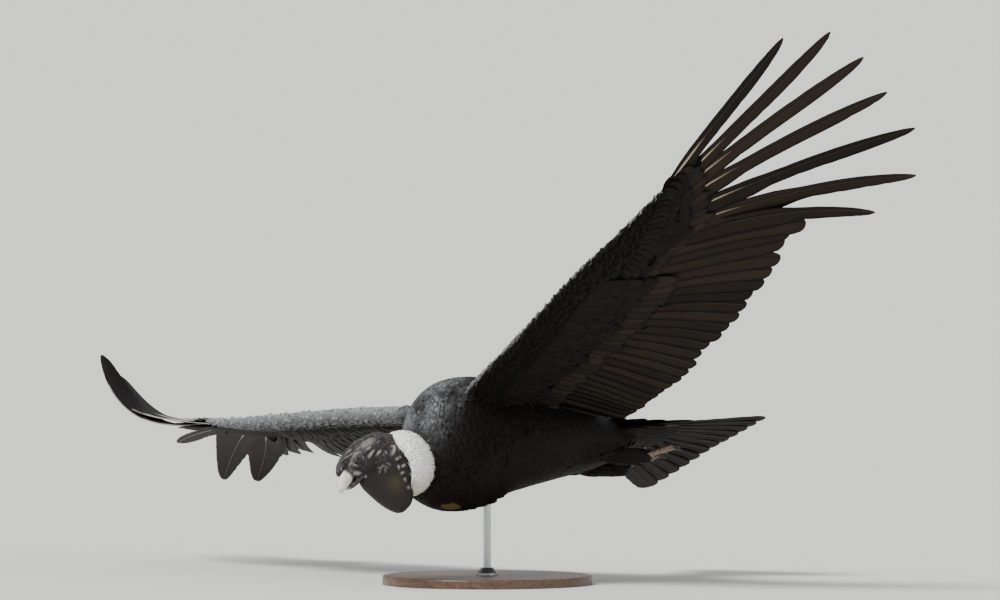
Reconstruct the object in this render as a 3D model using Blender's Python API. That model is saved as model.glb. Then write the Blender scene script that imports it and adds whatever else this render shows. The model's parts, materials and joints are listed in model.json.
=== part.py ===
"""An Andean condor soaring in a bank, life size, held over a flat base by one short rod.

The bird is modelled in its own frame, with its left wing along +X, its tail along +Y and its back up, in
metres from the middle of the shoulders. It is then banked, pitched and raised over the base.
"""

import math

import bmesh
import bpy
from mathutils import Matrix, Vector

# Fit between neighbouring pieces
GAP = 0.00035

# How the bird is held
BANK = math.radians(20.7)
NOSE_UP = math.radians(1.3)
SHOULDER_HEIGHT = 0.395

# Stand
BASE_RADIUS = 0.25
BASE_THICKNESS = 0.022
BASE_BEVEL = 0.004
ROD_RADIUS = 0.009
ROD_TOP_DROP = 0.06
COLLAR_RADIUS = 0.026
COLLAR_HEIGHT = 0.018
STAND_BACK = 0.13

# Torso rings: distance forward of the shoulders, height of back, height of belly, half width
TORSO = [
    (0.108, -0.040, -0.170, 0.060),
    (0.090, -0.012, -0.196, 0.088),
    (0.050, 0.056, -0.216, 0.122),
    (0.000, 0.094, -0.226, 0.140),
    (-0.080, 0.106, -0.208, 0.144),
    (-0.180, 0.094, -0.182, 0.138),
    (-0.300, 0.070, -0.156, 0.120),
    (-0.410, 0.040, -0.134, 0.096),
    (-0.500, 0.012, -0.114, 0.066),
    (-0.556, -0.020, -0.090, 0.032),
]
TORSO_SIDES = 16

# Neck rings: forward, height of middle, half depth, half width
NECK = [
    (0.084, -0.106, 0.046, 0.042),
    (0.130, -0.109, 0.060, 0.048),
    (0.180, -0.106, 0.072, 0.048),
    (0.222, -0.103, 0.064, 0.043),
    (0.248, -0.100, 0.048, 0.035),
    (0.258, -0.098, 0.034, 0.026),
]
WATTLE = [
    (0.146, -0.180, 0.024, 0.018),
    (0.160, -0.184, 0.036, 0.026),
    (0.186, -0.187, 0.045, 0.030),
    (0.222, -0.176, 0.042, 0.027),
    (0.254, -0.160, 0.034, 0.021),
    (0.276, -0.150, 0.024, 0.015),
    (0.286, -0.145, 0.014, 0.009),
]
FOLD_TOP = (0.200, -0.056)
FOLD_BOTTOM = (0.182, -0.150)
FOLD_COUNT = 6
FOLD_RADII = (0.0055, 0.0085, 0.0062)
FOLD_BOW = 0.004
# The neck's outline where the folds sit: height of its middle, half depth and half width
FOLD_OVAL = (-0.107, 0.071, 0.047)

# Ruff of down round the neck
RUFF_CENTRE = (0.140, -0.109)
RUFF_TIP_RADIUS = 0.094
RUFF_CORE_RADIUS = 0.070
RUFF_LENGTH = 0.082
RUFF_DROOP = math.radians(18)
RUFF_FLATNESS = 0.94
RUFF_ROWS = 2
RUFF_LOCKS = 14
LOCK_WIDTHS = (0.014, 0.017, 0.004)
LOCK_DEPTH = 0.0035

# Head frame: its origin ahead of and below the shoulders, its bill pointing down by HEAD_PITCH
HEAD_ORIGIN = (0.2575, -0.0924)
HEAD_PITCH = math.radians(38)
# Skull rings in the head frame: forward, top, bottom, half width
SKULL = [
    (-0.084, 0.006, -0.020, 0.016),
    (-0.070, 0.023, -0.036, 0.031),
    (-0.036, 0.036, -0.043, 0.037),
    (0.000, 0.040, -0.043, 0.036),
    (0.032, 0.037, -0.037, 0.031),
    (0.058, 0.029, -0.026, 0.023),
    (0.074, 0.021, -0.016, 0.014),
]
BILL_UPPER = [
    (0.058, 0.006, 0.0190, 0.0165),
    (0.080, 0.006, 0.0185, 0.0150),
    (0.099, 0.003, 0.0165, 0.0128),
    (0.113, 0.000, 0.0130, 0.0100),
    (0.1235, -0.005, 0.0085, 0.0065),
    (0.1280, -0.0115, 0.0040, 0.0030),
]
BILL_LOWER = [
    (0.050, -0.0210, 0.0090, 0.0150),
    (0.074, -0.0205, 0.0080, 0.0130),
    (0.094, -0.0180, 0.0065, 0.0100),
    (0.108, -0.0150, 0.0030, 0.0050),
]
COMB = [
    (-0.030, 0.032, 0.006, 0.006),
    (-0.012, 0.034, 0.010, 0.011),
    (0.014, 0.034, 0.0125, 0.013),
    (0.046, 0.033, 0.014, 0.013),
    (0.074, 0.030, 0.013, 0.011),
    (0.094, 0.025, 0.009, 0.008),
    (0.103, 0.022, 0.004, 0.004),
]
COMB_BULBS = 6
COMB_BULB_ENDS = (-0.010, 0.080)
COMB_BULB_SIDE = 0.0050
COMB_BULB_RADII = (0.0066, 0.0090, 0.0070)
EYE_CENTRE = (0.044, 0.0225, 0.014)
EYE_RADIUS = 0.0085
LID_RADII = (0.0078, 0.0064)
LID_THICKNESS = 0.0024
LID_OUT = 0.0062
NOSTRIL = (0.084, 0.0140, 0.010)
NOSTRIL_RADII = (0.004, 0.0045, 0.0022)
EAR = (-0.018, 0.036, -0.002)
EAR_RADII = (0.0062, 0.0046)
EAR_THICKNESS = 0.0020
EAR_CUP = (0.006, 0.0048, 0.0036)
# Slot that carries the line of the mouth back from the bill into the cheeks
MOUTH_SIZE = (0.08, 0.050, 0.0014)
MOUTH_MIDDLE = (0.036, -0.0138)

# Wing curves over the distance out from the body's middle line
LEADING_FORWARD = [
    (0.10, 0.004), (0.145, 0.010), (0.34, 0.002), (0.60, 0.028), (0.75, 0.000), (0.90, -0.041),
]
TRAILING_FORWARD = [
    (0.10, -0.484), (0.164, -0.477), (0.222, -0.450), (0.32, -0.426),
    (0.45, -0.412), (0.60, -0.405), (0.867, -0.400),
]
RISE = {
    "left": [(0.10, 0.022), (0.145, 0.038), (0.34, 0.098), (0.60, 0.154), (0.75, 0.206), (0.90, 0.270)],
    "right": [(0.10, 0.050), (0.145, 0.068), (0.34, 0.133), (0.60, 0.208), (0.75, 0.254), (0.90, 0.307)],
}
DROP = {
    "left": [
        (0.10, 0.055), (0.164, 0.076), (0.222, 0.103), (0.32, 0.138),
        (0.45, 0.152), (0.60, 0.139), (0.867, 0.141),
    ],
    "right": [(0.10, 0.085), (0.20, 0.096), (0.42, 0.104), (0.60, 0.104), (0.83, 0.095), (0.95, 0.084)],
}
THICKNESS = [(0.10, 0.060), (0.145, 0.056), (0.34, 0.052), (0.60, 0.046), (0.75, 0.036), (0.90, 0.026)]
CORE_CHORD = [(0.10, 0.180), (0.34, 0.170), (0.60, 0.155), (0.75, 0.125), (0.90, 0.070)]
# The flesh's outline across the wing: shares of its chord and of its thickness
CORE_PROFILE = (
    (1.00, 0.12), (0.70, 0.22), (0.36, 0.44), (0.10, 0.40), (0.00, 0.12),
    (0.00, -0.14), (0.10, -0.36), (0.36, -0.42), (0.70, -0.22), (1.00, -0.12),
)
CORE_STATIONS = (0.100, 0.145, 0.220, 0.340, 0.470, 0.600, 0.680, 0.760, 0.840, 0.900)
WRIST = 0.60
HAND_END = 0.90

# Flight feathers
SECONDARIES = 16
SECONDARY_ROOTS = (0.165, 0.60)
SECONDARY_TIPS = (0.125, 0.860)
PRIMARY_TIPS = {
    "left": [
        (-0.389, 0.900, 0.140),
        (-0.374, 0.945, 0.151),
        (-0.375, 1.000, 0.149),
        (-0.454, 1.155, 0.120),
        (-0.516, 1.255, 0.177),
        (-0.495, 1.310, 0.275),
        (-0.405, 1.340, 0.353),
        (-0.314, 1.385, 0.423),
        (-0.219, 1.395, 0.481),
        (-0.101, 1.360, 0.477),
    ],
    "right": [
        (-0.386, 0.955, 0.246),
        (-0.386, 1.005, 0.260),
        (-0.390, 1.060, 0.276),
        (-0.410, 1.180, 0.243),
        (-0.419, 1.310, 0.291),
        (-0.341, 1.360, 0.404),
        (-0.259, 1.410, 0.563),
        (-0.246, 1.410, 0.597),
        (-0.194, 1.380, 0.621),
        (-0.135, 1.330, 0.622),
    ],
}
FIRST_FINGER = 3
STACK_STEP = 0.0017
FEATHER_DEPTH = 0.0013
COVERT_DEPTH = 0.0011
SHINGLE = math.radians(8)
SECONDARY_BOW = 0.008
SECONDARY_RISE = 0.012
UNEVEN = 0.02
PRIMARY_BOW = {
    "left": (0.010, 0.010, 0.010, 0.012, 0.016, 0.018, 0.021, 0.014, 0.005, 0.021),
    "right": (0.006, 0.006, 0.002, -0.014, 0.004, 0.014, 0.021, 0.024, 0.032, 0.014),
}
# How late each primary bends up, and how far it is turned about its shaft beyond the others, in degrees
PRIMARY_BEND = {
    "left": (2.8,) * 10,
    "right": (2.8, 2.8, 2.8, 2.8, 2.8, 2.8, 2.8, 2.8, 3.1, 2.5),
}
PRIMARY_TWIST = {
    "left": (0,) * 10,
    "right": (0, 0, 0, 0, 0, 0, 4, 10, 18, 26),
}

# Rows of coverts: their number, their roots and tips as shares of the chord, and their lift at root and tip
COVERT_ROWS = (
    (10, 0.15, 0.56, (0.008, 0.010)),
    (9, 0.09, 0.37, (0.013, 0.019)),
    (9, 0.15, 0.50, (-0.008, -0.010)),
)
COVERT_ENDS = (0.18, 0.60)
# Rows of coverts over and under the primaries: their lift, and their length as a share of the primary's
HAND_COVERT_ROWS = ((0.013, 0.30), (-0.013, 0.24))

# Full widths of a feather ahead of its shaft and behind it
SECONDARY_WIDTH = (0.050, 0.058)
SECONDARY_LEAD = 0.40
INNER_LEAD = 0.024
INNER_TRAIL = 0.036
COVERT_WIDTH = 0.062
COVERT_LEAD = 0.45
HAND_COVERT_LEAD = 0.015
HAND_COVERT_TRAIL = 0.024
FINGER_LEAD = {
    "left": (0.020, 0.020, 0.020, 0.020, 0.020, 0.020, 0.020),
    "right": (0.062, 0.062, 0.022, 0.020, 0.026, 0.030, 0.018),
}
FINGER_TRAIL = {
    "left": (0.040, 0.040, 0.040, 0.040, 0.040, 0.035, 0.030),
    "right": (0.050, 0.044, 0.040, 0.062, 0.056, 0.056, 0.060),
}

# Tail
TAIL_FEATHERS = 12
TAIL_ROOT = (-0.535, -0.036)
TAIL_TIP = (-0.833, -0.076)
TAIL_ROOT_HALF = 0.050
TAIL_TIP_HALF = 0.228
TAIL_ROLL = 0.010
TAIL_ROUNDING = 0.016
TAIL_FEATHER_HALF = 0.030
TAIL_COVERT_HALF = 0.027
# Rings of the rump: forward, height of middle, half width and half depth
RUMP = [
    (-0.500, -0.0440, 0.050, 0.032),
    (-0.545, -0.0476, 0.052, 0.026),
    (-0.590, -0.0512, 0.060, 0.013),
    (-0.625, -0.0540, 0.066, 0.004),
]

# Legs, tucked back under the tail
# Thigh rings: forward, out to the side, height and radius
THIGH = [
    (-0.270, 0.064, -0.090, 0.014),
    (-0.310, 0.064, -0.094, 0.029),
    (-0.370, 0.058, -0.100, 0.028),
    (-0.430, 0.052, -0.106, 0.023),
    (-0.475, 0.047, -0.111, 0.016),
    (-0.490, 0.046, -0.112, 0.012),
]
ANKLE = (-0.478, 0.047, -0.113)
SHANK_RADII = (0.0110, 0.0085, 0.0090, 0.0100)
LEG_OUT = 0.030
TOE_ROOT = (-0.600, -0.101)
# Toes: turn from straight back in degrees, length and thickness
TOES = ((-15, 0.070, 0.0062), (0, 0.092, 0.0068), (15, 0.074, 0.0062), (150, 0.026, 0.0054))
TOE_RISE = 0.016


def place(forward, left, up):
    """A point of the bird in Blender's axes."""
    return Vector((left, -forward, up))


def blend(low, high, share):
    return low + (high - low) * share


def curve_at(knots, x):
    """The value at x of a smooth curve through (x, value) knots."""
    if x <= knots[0][0]:
        return knots[0][1]
    if x >= knots[-1][0]:
        return knots[-1][1]
    slopes = []
    for i in range(len(knots)):
        before = knots[max(i - 1, 0)]
        after = knots[min(i + 1, len(knots) - 1)]
        slopes.append((after[1] - before[1]) / (after[0] - before[0]))
    for i in range(len(knots) - 1):
        (x0, y0), (x1, y1) = knots[i], knots[i + 1]
        if x0 <= x <= x1:
            span = x1 - x0
            t = (x - x0) / span
            rising = t * t * (3 - 2 * t)
            return (
                blend(y0, y1, rising)
                + slopes[i] * span * (t**3 - 2 * t**2 + t)
                + slopes[i + 1] * span * (t**3 - t**2)
            )


def clear_scene():
    for obj in list(bpy.data.objects):
        bpy.data.objects.remove(obj)


def new_collection(name):
    made = bpy.data.collections.new(name)
    bpy.context.scene.collection.children.link(made)
    return made


def new_material(name, colour, roughness, metallic=0.0):
    made = bpy.data.materials.new(name)
    made.use_nodes = True
    shader = made.node_tree.nodes["Principled BSDF"]
    shader.inputs["Base Color"].default_value = (*colour, 1)
    shader.inputs["Roughness"].default_value = roughness
    shader.inputs["Metallic"].default_value = metallic
    return made


def mesh_object(name, bm, collection, triangulate=True):
    if triangulate:
        bmesh.ops.triangulate(bm, faces=bm.faces[:], quad_method="BEAUTY", ngon_method="BEAUTY")
    mesh = bpy.data.meshes.new(name)
    bm.to_mesh(mesh)
    bm.free()
    obj = bpy.data.objects.new(name, mesh)
    collection.objects.link(obj)
    return obj


def loft(name, rings, collection):
    """A closed tube through rings of as many points each, capped at both ends."""
    bm = bmesh.new()
    rows = [[bm.verts.new(point) for point in ring] for ring in rings]
    for row, following in zip(rows, rows[1:]):
        for i in range(len(row)):
            j = (i + 1) % len(row)
            bm.faces.new((row[i], row[j], following[j], following[i]))
    bm.faces.new(rows[0][::-1])
    bm.faces.new(rows[-1])
    bmesh.ops.recalc_face_normals(bm, faces=bm.faces[:])
    return mesh_object(name, bm, collection)


def oval(centre, across, above, below, sides, width, top, bottom):
    """A ring of points round centre, as wide as width each way, top above it and bottom below it."""
    points = []
    for i in range(sides):
        turn = 2 * math.pi * i / sides
        rise = math.sin(turn)
        height = above * (top * rise) if rise > 0 else below * (-bottom * rise)
        points.append(centre + across * (width * math.cos(turn)) + height)
    return points


def finer(rows, steps):
    """Rows of numbers with a smooth curve's points put between them, steps to each span."""
    made = []
    columns = [[(i, row[c]) for i, row in enumerate(rows)] for c in range(len(rows[0]))]
    for i in range((len(rows) - 1) * steps + 1):
        made.append(tuple(curve_at(column, i / steps) for column in columns))
    return made


def apply_modifiers(obj):
    graph = bpy.context.evaluated_depsgraph_get()
    mesh = bpy.data.meshes.new_from_object(obj.evaluated_get(graph))
    obj.modifiers.clear()
    obj.data = mesh


def keep_largest(obj):
    """Leaves only the object's largest closed surface, and welds what a Boolean left almost touching."""
    bm = bmesh.new()
    bm.from_mesh(obj.data)
    bmesh.ops.remove_doubles(bm, verts=bm.verts[:], dist=1e-6)
    bm.faces.ensure_lookup_table()
    left = set(bm.faces)
    islands = []
    while left:
        start = left.pop()
        island = {start}
        edge_of_search = [start]
        while edge_of_search:
            face = edge_of_search.pop()
            for edge in face.edges:
                for other in edge.link_faces:
                    if other in left:
                        left.remove(other)
                        island.add(other)
                        edge_of_search.append(other)
        islands.append(island)
    islands.sort(key=lambda island: sum(face.calc_area() for face in island))
    for island in islands[:-1]:
        bmesh.ops.delete(bm, geom=list(island), context="FACES")
    bmesh.ops.delete(bm, geom=[v for v in bm.verts if not v.link_faces], context="VERTS")
    bm.to_mesh(obj.data)
    bm.free()


def fuse(obj, pieces):
    """Joins a collection of closed pieces to obj in one union, and removes the collection's objects."""
    union = obj.modifiers.new("union", "BOOLEAN")
    union.operation = "UNION"
    union.operand_type = "COLLECTION"
    union.collection = pieces
    union.solver = "MANIFOLD"
    apply_modifiers(obj)
    for piece in list(pieces.objects):
        bpy.data.objects.remove(piece)
    bpy.data.collections.remove(pieces)
    keep_largest(obj)


def cut(obj, *cutters):
    """Takes the cutters away from obj, then removes them."""
    for cutter in cutters:
        difference = obj.modifiers.new("difference", "BOOLEAN")
        difference.operation = "DIFFERENCE"
        difference.object = cutter
        difference.solver = "MANIFOLD"
        apply_modifiers(obj)
        bpy.data.objects.remove(cutter)
    keep_largest(obj)


def swollen(obj, by=GAP):
    """A cutter with obj's shape, grown all round by the gap that neighbours keep."""
    bm = bmesh.new()
    bm.from_mesh(obj.data)
    bm.normal_update()
    moved = [(v, v.co + v.normal * by) for v in bm.verts]
    for vert, point in moved:
        vert.co = point
    return mesh_object(obj.name + "_cutter", bm, CUTTERS)


def flip(obj):
    """Mirrors obj from the left side of the bird to the right."""
    bm = bmesh.new()
    bm.from_mesh(obj.data)
    bmesh.ops.scale(bm, vec=(-1, 1, 1), verts=bm.verts[:])
    bmesh.ops.reverse_faces(bm, faces=bm.faces[:])
    bm.to_mesh(obj.data)
    bm.free()


def ball(name, centre, radii, collection, segments=10, rings=7):
    bm = bmesh.new()
    bmesh.ops.create_uvsphere(bm, u_segments=segments, v_segments=rings, radius=1)
    bmesh.ops.scale(bm, vec=radii, verts=bm.verts[:])
    bmesh.ops.translate(bm, vec=centre, verts=bm.verts[:])
    return mesh_object(name, bm, collection)


def limb(name, points, radii, collection, sides=7):
    """A tapering round limb through points, capped at both ends."""
    rings = []
    for i, point in enumerate(points):
        along = (points[min(i + 1, len(points) - 1)] - points[max(i - 1, 0)]).normalized()
        side = along.cross(Vector((0, 0, 1))).normalized()
        top = side.cross(along).normalized()
        rings.append(oval(point, side, top, top, sides, radii[i], radii[i], -radii[i]))
    return loft(name, rings, collection)


def vane(name, shaft, normal, lead, trail, depth, collection):
    """A flat feather along the points of its shaft: lead and trail are its widths there on either side."""
    bm = bmesh.new()
    rows = []
    for i, point in enumerate(shaft):
        along = (shaft[min(i + 1, len(shaft) - 1)] - shaft[max(i - 1, 0)]).normalized()
        side = along.cross(normal).normalized()
        top = side.cross(along).normalized() * (depth / 2)
        front = point + side * lead[i]
        back = point - side * trail[i]
        rows.append([bm.verts.new(p) for p in (front + top, back + top, back - top, front - top)])
    for row, following in zip(rows, rows[1:]):
        front_top, back_top, back_low, front_low = row
        next_front_top, next_back_top, next_back_low, next_front_low = following
        # Both broad faces are split along the same diagonal, so that a curved vane can't cross itself.
        for face in (
            (front_top, next_front_top, next_back_top),
            (front_top, next_back_top, back_top),
            (front_low, next_back_low, next_front_low),
            (front_low, back_low, next_back_low),
            (front_top, front_low, next_front_low),
            (front_top, next_front_low, next_front_top),
            (back_top, next_back_top, next_back_low),
            (back_top, next_back_low, back_low),
        ):
            bm.faces.new(face)
    for row in (rows[0], rows[-1]):
        bm.faces.new((row[0], row[1], row[2]))
        bm.faces.new((row[0], row[2], row[3]))
    bmesh.ops.recalc_face_normals(bm, faces=bm.faces[:])
    return mesh_object(name, bm, collection, triangulate=False)


def bent_shaft(root, tip, reach, shares, power, bow):
    """Points from root towards reach that bend away to end at tip, more and more with the power."""
    return [root + (reach - root) * t + (tip - reach) * t**power + bow * (4 * t * (1 - t)) for t in shares]


# Widths along a feather, as shares of its full width
QUILL = {"at": (0.0, 0.25, 0.80, 0.955, 1.0), "wide": (0.30, 0.95, 1.0, 0.78, 0.22)}
COVERT = {"at": (0.0, 0.35, 0.85, 1.0), "wide": (0.60, 1.0, 0.80, 0.15)}
BROAD_FINGER = {
    "at": (0.0, 0.37, 0.50, 0.74, 0.91, 1.0),
    "wide": (0.45, 1.0, 0.92, 0.64, 0.38, 0.10),
}
BROAD_FINGERS = {"left": 0, "right": 2}
# Where along each finger its notch lies, and how wide the outermost finger is before it
NOTCHES = (0.60, 0.50, 0.38, 0.31, 0.27, 0.235, 0.20)
OUTERMOST_BASE = 0.60


def finger(side, number):
    """Widths of a finger, which narrows past a notch: the outermost feathers narrow nearest their roots."""
    if number < BROAD_FINGERS[side]:
        return BROAD_FINGER
    notch = NOTCHES[number]
    base = blend(1.0, OUTERMOST_BASE, number / (len(NOTCHES) - 1))
    return {
        "at": (0.0, notch, notch + 0.11, 0.76, 0.91, 1.0),
        "wide": (0.45, base, 0.64, 0.62, 0.44, 0.12),
    }


def feather(root, tip, reach, normal, lead, trail, form, depth, collection, power=2.0, bow=0.0):
    """A flight feather or covert, bowed in its own plane towards its leading side."""
    sideways = (tip - root).cross(normal).normalized() * bow
    shaft = bent_shaft(root, tip, reach, form["at"], power, sideways)
    leads = [lead * wide for wide in form["wide"]]
    trails = [trail * wide for wide in form["wide"]]
    return vane("vane", shaft, normal, leads, trails, depth, collection)


def tilted(normal, along, angle):
    return Matrix.Rotation(angle, 3, along.normalized()) @ normal


class Wing:
    """One wing's curves, worked out as if it were the left one."""

    def __init__(self, side):
        self.side = side

    def surface(self, out, share, lift=0.0):
        """A point out from the body, a share of the chord back from the leading edge, lifted off the wing."""
        front = curve_at(LEADING_FORWARD, out)
        back = curve_at(TRAILING_FORWARD, out)
        up = curve_at(RISE[self.side], out) - curve_at(DROP[self.side], out) * share
        return place(blend(front, back, share), out, up + lift)

    def normal(self, out, share):
        step = 0.02
        outward = self.surface(out + step, share) - self.surface(out - step, share)
        backward = self.surface(out, share + step) - self.surface(out, share - step)
        return outward.cross(backward).normalized()

    def core(self):
        """The flesh of the arm and hand: an airfoil that thins to the rear."""
        rings = []
        for out in CORE_STATIONS:
            chord = abs(curve_at(LEADING_FORWARD, out) - curve_at(TRAILING_FORWARD, out))
            long = curve_at(CORE_CHORD, out) / chord
            thick = curve_at(THICKNESS, out)
            up = self.normal(out, 0.1)
            ring = [self.surface(out, share * long) + up * (thick * height) for share, height in CORE_PROFILE]
            rings.append(ring)
        tip = self.surface(HAND_END, 0.05) + place(-0.004, 0.022, 0.006)
        rings.append([tip + (point - tip) * 0.25 for point in rings[-1]])
        return loft("core", rings, PARTS)

    def secondaries(self, pieces):
        for i in range(SECONDARIES):
            share = i / (SECONDARIES - 1)
            out = blend(*SECONDARY_ROOTS, share)
            out_tip = blend(*SECONDARY_TIPS, share**1.15)
            root = self.surface(out, 0.22)
            tip = self.surface(out_tip, 1.0 + UNEVEN * math.sin(7 * i))
            reach = tip + self.normal(out, 0.3) * SECONDARY_RISE
            normal = tilted(self.normal(blend(out, out_tip, 0.5), 0.5), tip - root, -SHINGLE)
            wide = blend(*SECONDARY_WIDTH, share)
            lead, trail = wide * SECONDARY_LEAD, wide * (1 - SECONDARY_LEAD)
            feather(root, tip, reach, normal, lead, trail, QUILL, FEATHER_DEPTH, pieces, bow=SECONDARY_BOW)

    def primary(self, i):
        """Root, tip, in-plane reach and normal of primary i, counted from the wrist outwards."""
        share = i / 9
        out = blend(WRIST + 0.018, HAND_END - 0.006, share)
        root = self.surface(out, blend(0.20, 0.030, share**1.5), STACK_STEP * (5.0 - i))
        tip = place(*PRIMARY_TIPS[self.side][i])
        flat = self.normal(out, 0.3)
        straight = tip - root
        reach = root + (straight - flat * straight.dot(flat)).normalized() * straight.length
        return root, tip, reach, flat

    def primaries(self, pieces):
        for i in range(10):
            root, tip, reach, flat = self.primary(i)
            twist = math.radians(PRIMARY_TWIST[self.side][i])
            normal = tilted(flat, tip - root, twist - SHINGLE)
            number = i - FIRST_FINGER
            if number < 0:
                form, lead, trail = QUILL, INNER_LEAD, INNER_TRAIL
            else:
                form = finger(self.side, number)
                lead = FINGER_LEAD[self.side][number]
                trail = FINGER_TRAIL[self.side][number]
            bend = PRIMARY_BEND[self.side][i]
            bow = PRIMARY_BOW[self.side][i]
            feather(root, tip, reach, normal, lead, trail, form, FEATHER_DEPTH, pieces, bend, bow)

    def coverts(self, pieces, count, roots, tips, lift):
        """A row of coverts over or under the secondaries."""
        for i in range(count):
            share = i / (count - 1)
            out = blend(*COVERT_ENDS, share)
            out_tip = out + blend(-0.012, 0.075, share) * (tips - roots) / 0.4
            root = self.surface(out, roots, lift[0])
            tip = self.surface(out_tip, tips + 0.012 * math.sin(5 * i), lift[1])
            normal = tilted(self.normal(out, 0.4), tip - root, -SHINGLE * 0.9)
            lead, trail = COVERT_WIDTH * COVERT_LEAD, COVERT_WIDTH * (1 - COVERT_LEAD)
            feather(root, tip, tip, normal, lead, trail, COVERT, COVERT_DEPTH, pieces)

    def primary_coverts(self, pieces, lift, length):
        for i in range(1, 9):
            root, tip, reach, flat = self.primary(i)
            start = root + flat * (lift * 0.55)
            share = length * blend(1.15, 0.85, i / 9)
            bent = (tip - reach) * share ** PRIMARY_BEND[self.side][i]
            end = root + (reach - root) * share + bent + flat * (lift * blend(1.2, 0.85, i / 8))
            normal = tilted(flat, end - start, -SHINGLE * 0.9)
            lead, trail = HAND_COVERT_LEAD, HAND_COVERT_TRAIL
            feather(start, end, end, normal, lead, trail, COVERT, COVERT_DEPTH, pieces)

    def build(self):
        wing = self.core()
        pieces = new_collection("vanes")
        self.secondaries(pieces)
        self.primaries(pieces)
        for row in COVERT_ROWS:
            self.coverts(pieces, *row)
        for row in HAND_COVERT_ROWS:
            self.primary_coverts(pieces, *row)
        fuse(wing, pieces)
        return wing


def slab(point, normal, size=4.0):
    """A large thick cutter that takes away what lies beyond point, the way normal points."""
    bm = bmesh.new()
    bmesh.ops.create_cube(bm, size=size)
    turn = Vector((0, 0, 1)).rotation_difference(normal).to_matrix().to_4x4()
    bmesh.ops.transform(bm, matrix=Matrix.Translation(point + normal * (size / 2)) @ turn, verts=bm.verts[:])
    return mesh_object("slab", bm, CUTTERS)


def copy_of(obj, name):
    made = bpy.data.objects.new(name, obj.data.copy())
    PARTS.objects.link(made)
    return made


def split_at(obj, near_name, far_name, point, normal):
    """Parts obj with a thin flat cut: the near piece lies against the normal, the far piece along it."""
    far = copy_of(obj, far_name)
    obj.name = near_name
    cut(obj, slab(point - normal * (GAP / 2), normal))
    cut(far, slab(point + normal * (GAP / 2), -normal))
    return obj, far


def build_wing(side, torso):
    wing = Wing(side)
    whole = wing.build()
    if side == "right":
        flip(whole)
    cut(whole, swollen(torso))
    # The cut runs back from just outside the wrist, between the secondaries and the primaries.
    root = wing.surface(WRIST + 0.006, 0.1)
    last_secondary = wing.surface(SECONDARY_TIPS[1], 1.0)
    first_primary = place(*PRIMARY_TIPS[side][0])
    between = blend(last_secondary, first_primary, 0.45)
    along = between - root
    normal = wing.normal(WRIST, 0.4).cross(along).normalized()
    if normal.x < 0:
        normal.negate()
    if side == "right":
        normal.x = -normal.x
        root.x = -root.x
    return split_at(whole, f"wing_{side}_arm", f"wing_{side}_hand", root, normal)


def build_torso():
    rings = []
    for forward, back, belly, half in finer(TORSO, 2):
        middle = blend(belly, back, 0.46)
        across = Vector((1, 0, 0))
        up = Vector((0, 0, 1))
        centre = place(forward, 0, middle)
        rings.append(oval(centre, across, up, up, TORSO_SIDES, half, back - middle, belly - middle))
    return loft("torso", rings, PARTS)


def round_neck(name, rows, sides):
    rings = []
    for forward, middle, deep, half in finer(rows, 2):
        up = Vector((0, 0, 1))
        rings.append(oval(place(forward, 0, middle), Vector((1, 0, 0)), up, up, sides, half, deep, -deep))
    return loft(name, rings, PARTS)


def build_neck(torso):
    """The neck with its beads of skin, and the cutters that make room for both in the ruff."""
    neck = round_neck("neck", NECK, 12)
    room = [swollen(neck)]
    bulbs = new_collection("bulbs")
    for side in (1, -1):
        for i in range(FOLD_COUNT):
            share = i / (FOLD_COUNT - 1)
            forward = blend(FOLD_TOP[0], FOLD_BOTTOM[0], share) - FOLD_BOW * math.sin(math.pi * share)
            up = blend(FOLD_TOP[1], FOLD_BOTTOM[1], share)
            drop = (up - FOLD_OVAL[0]) / FOLD_OVAL[1]
            out = FOLD_OVAL[2] * math.sqrt(max(0.0, 1 - drop * drop))
            spot = place(forward, side * out, up)
            ball("bulb", spot, FOLD_RADII, bulbs, 6, 4)
            room.append(ball("bulb_room", spot, [radius + GAP * 2 for radius in FOLD_RADII], CUTTERS, 6, 4))
    fuse(neck, bulbs)
    cut(neck, swollen(torso))
    return neck, room


def build_ruff(torso, neck_room, wattle, head):
    """A collar of white down: flat, tapered locks in rows round a low core."""
    axis = place(math.cos(RUFF_DROOP), 0, -math.sin(RUFF_DROOP))
    up = axis.cross(Vector((-1, 0, 0))).normalized()
    up = up if up.z > 0 else -up
    centre = place(RUFF_CENTRE[0], 0, RUFF_CENTRE[1])
    across = Vector((1, 0, 0))
    rings = []
    for share in (-0.5, -0.25, 0.0, 0.25, 0.5):
        radius = RUFF_CORE_RADIUS * (1 - 0.3 * share * share)
        middle = centre + axis * (RUFF_LENGTH * share)
        rings.append(oval(middle, across, up, up, 16, radius * RUFF_FLATNESS, radius, -radius))
    ruff = loft("ruff", rings, PARTS)
    locks = new_collection("locks")
    for row in range(RUFF_ROWS):
        share = (row / (RUFF_ROWS - 1) - 0.5) * 0.8
        for i in range(RUFF_LOCKS):
            turn = 2 * math.pi * (i + 0.5 * (row % 2)) / RUFF_LOCKS
            out = across * math.cos(turn) + up * math.sin(turn)
            round_way = across * -math.sin(turn) + up * math.cos(turn)
            start = centre + axis * (RUFF_LENGTH * share) + out * (RUFF_CORE_RADIUS * 0.78)
            reach = 0.92 + 0.10 * math.sin(3.7 * i + row)
            tip = centre + axis * (RUFF_LENGTH * share * 1.15) + out * (RUFF_TIP_RADIUS * reach)
            tip += round_way * 0.006 + axis * (0.010 * (row - 0.5))
            middle = blend(start, tip, 0.55) - axis * 0.002
            normal = (axis * 0.9 + out * 0.25).normalized()
            vane("lock", [start, middle, tip], normal, LOCK_WIDTHS, LOCK_WIDTHS, LOCK_DEPTH, locks)
    fuse(ruff, locks)
    cut(ruff, swollen(torso), *neck_room, swollen(wattle), swollen(head))
    return ruff


HEAD_TURN = Matrix.Translation(place(HEAD_ORIGIN[0], 0, HEAD_ORIGIN[1])) @ Matrix.Rotation(HEAD_PITCH, 4, "X")


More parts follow.
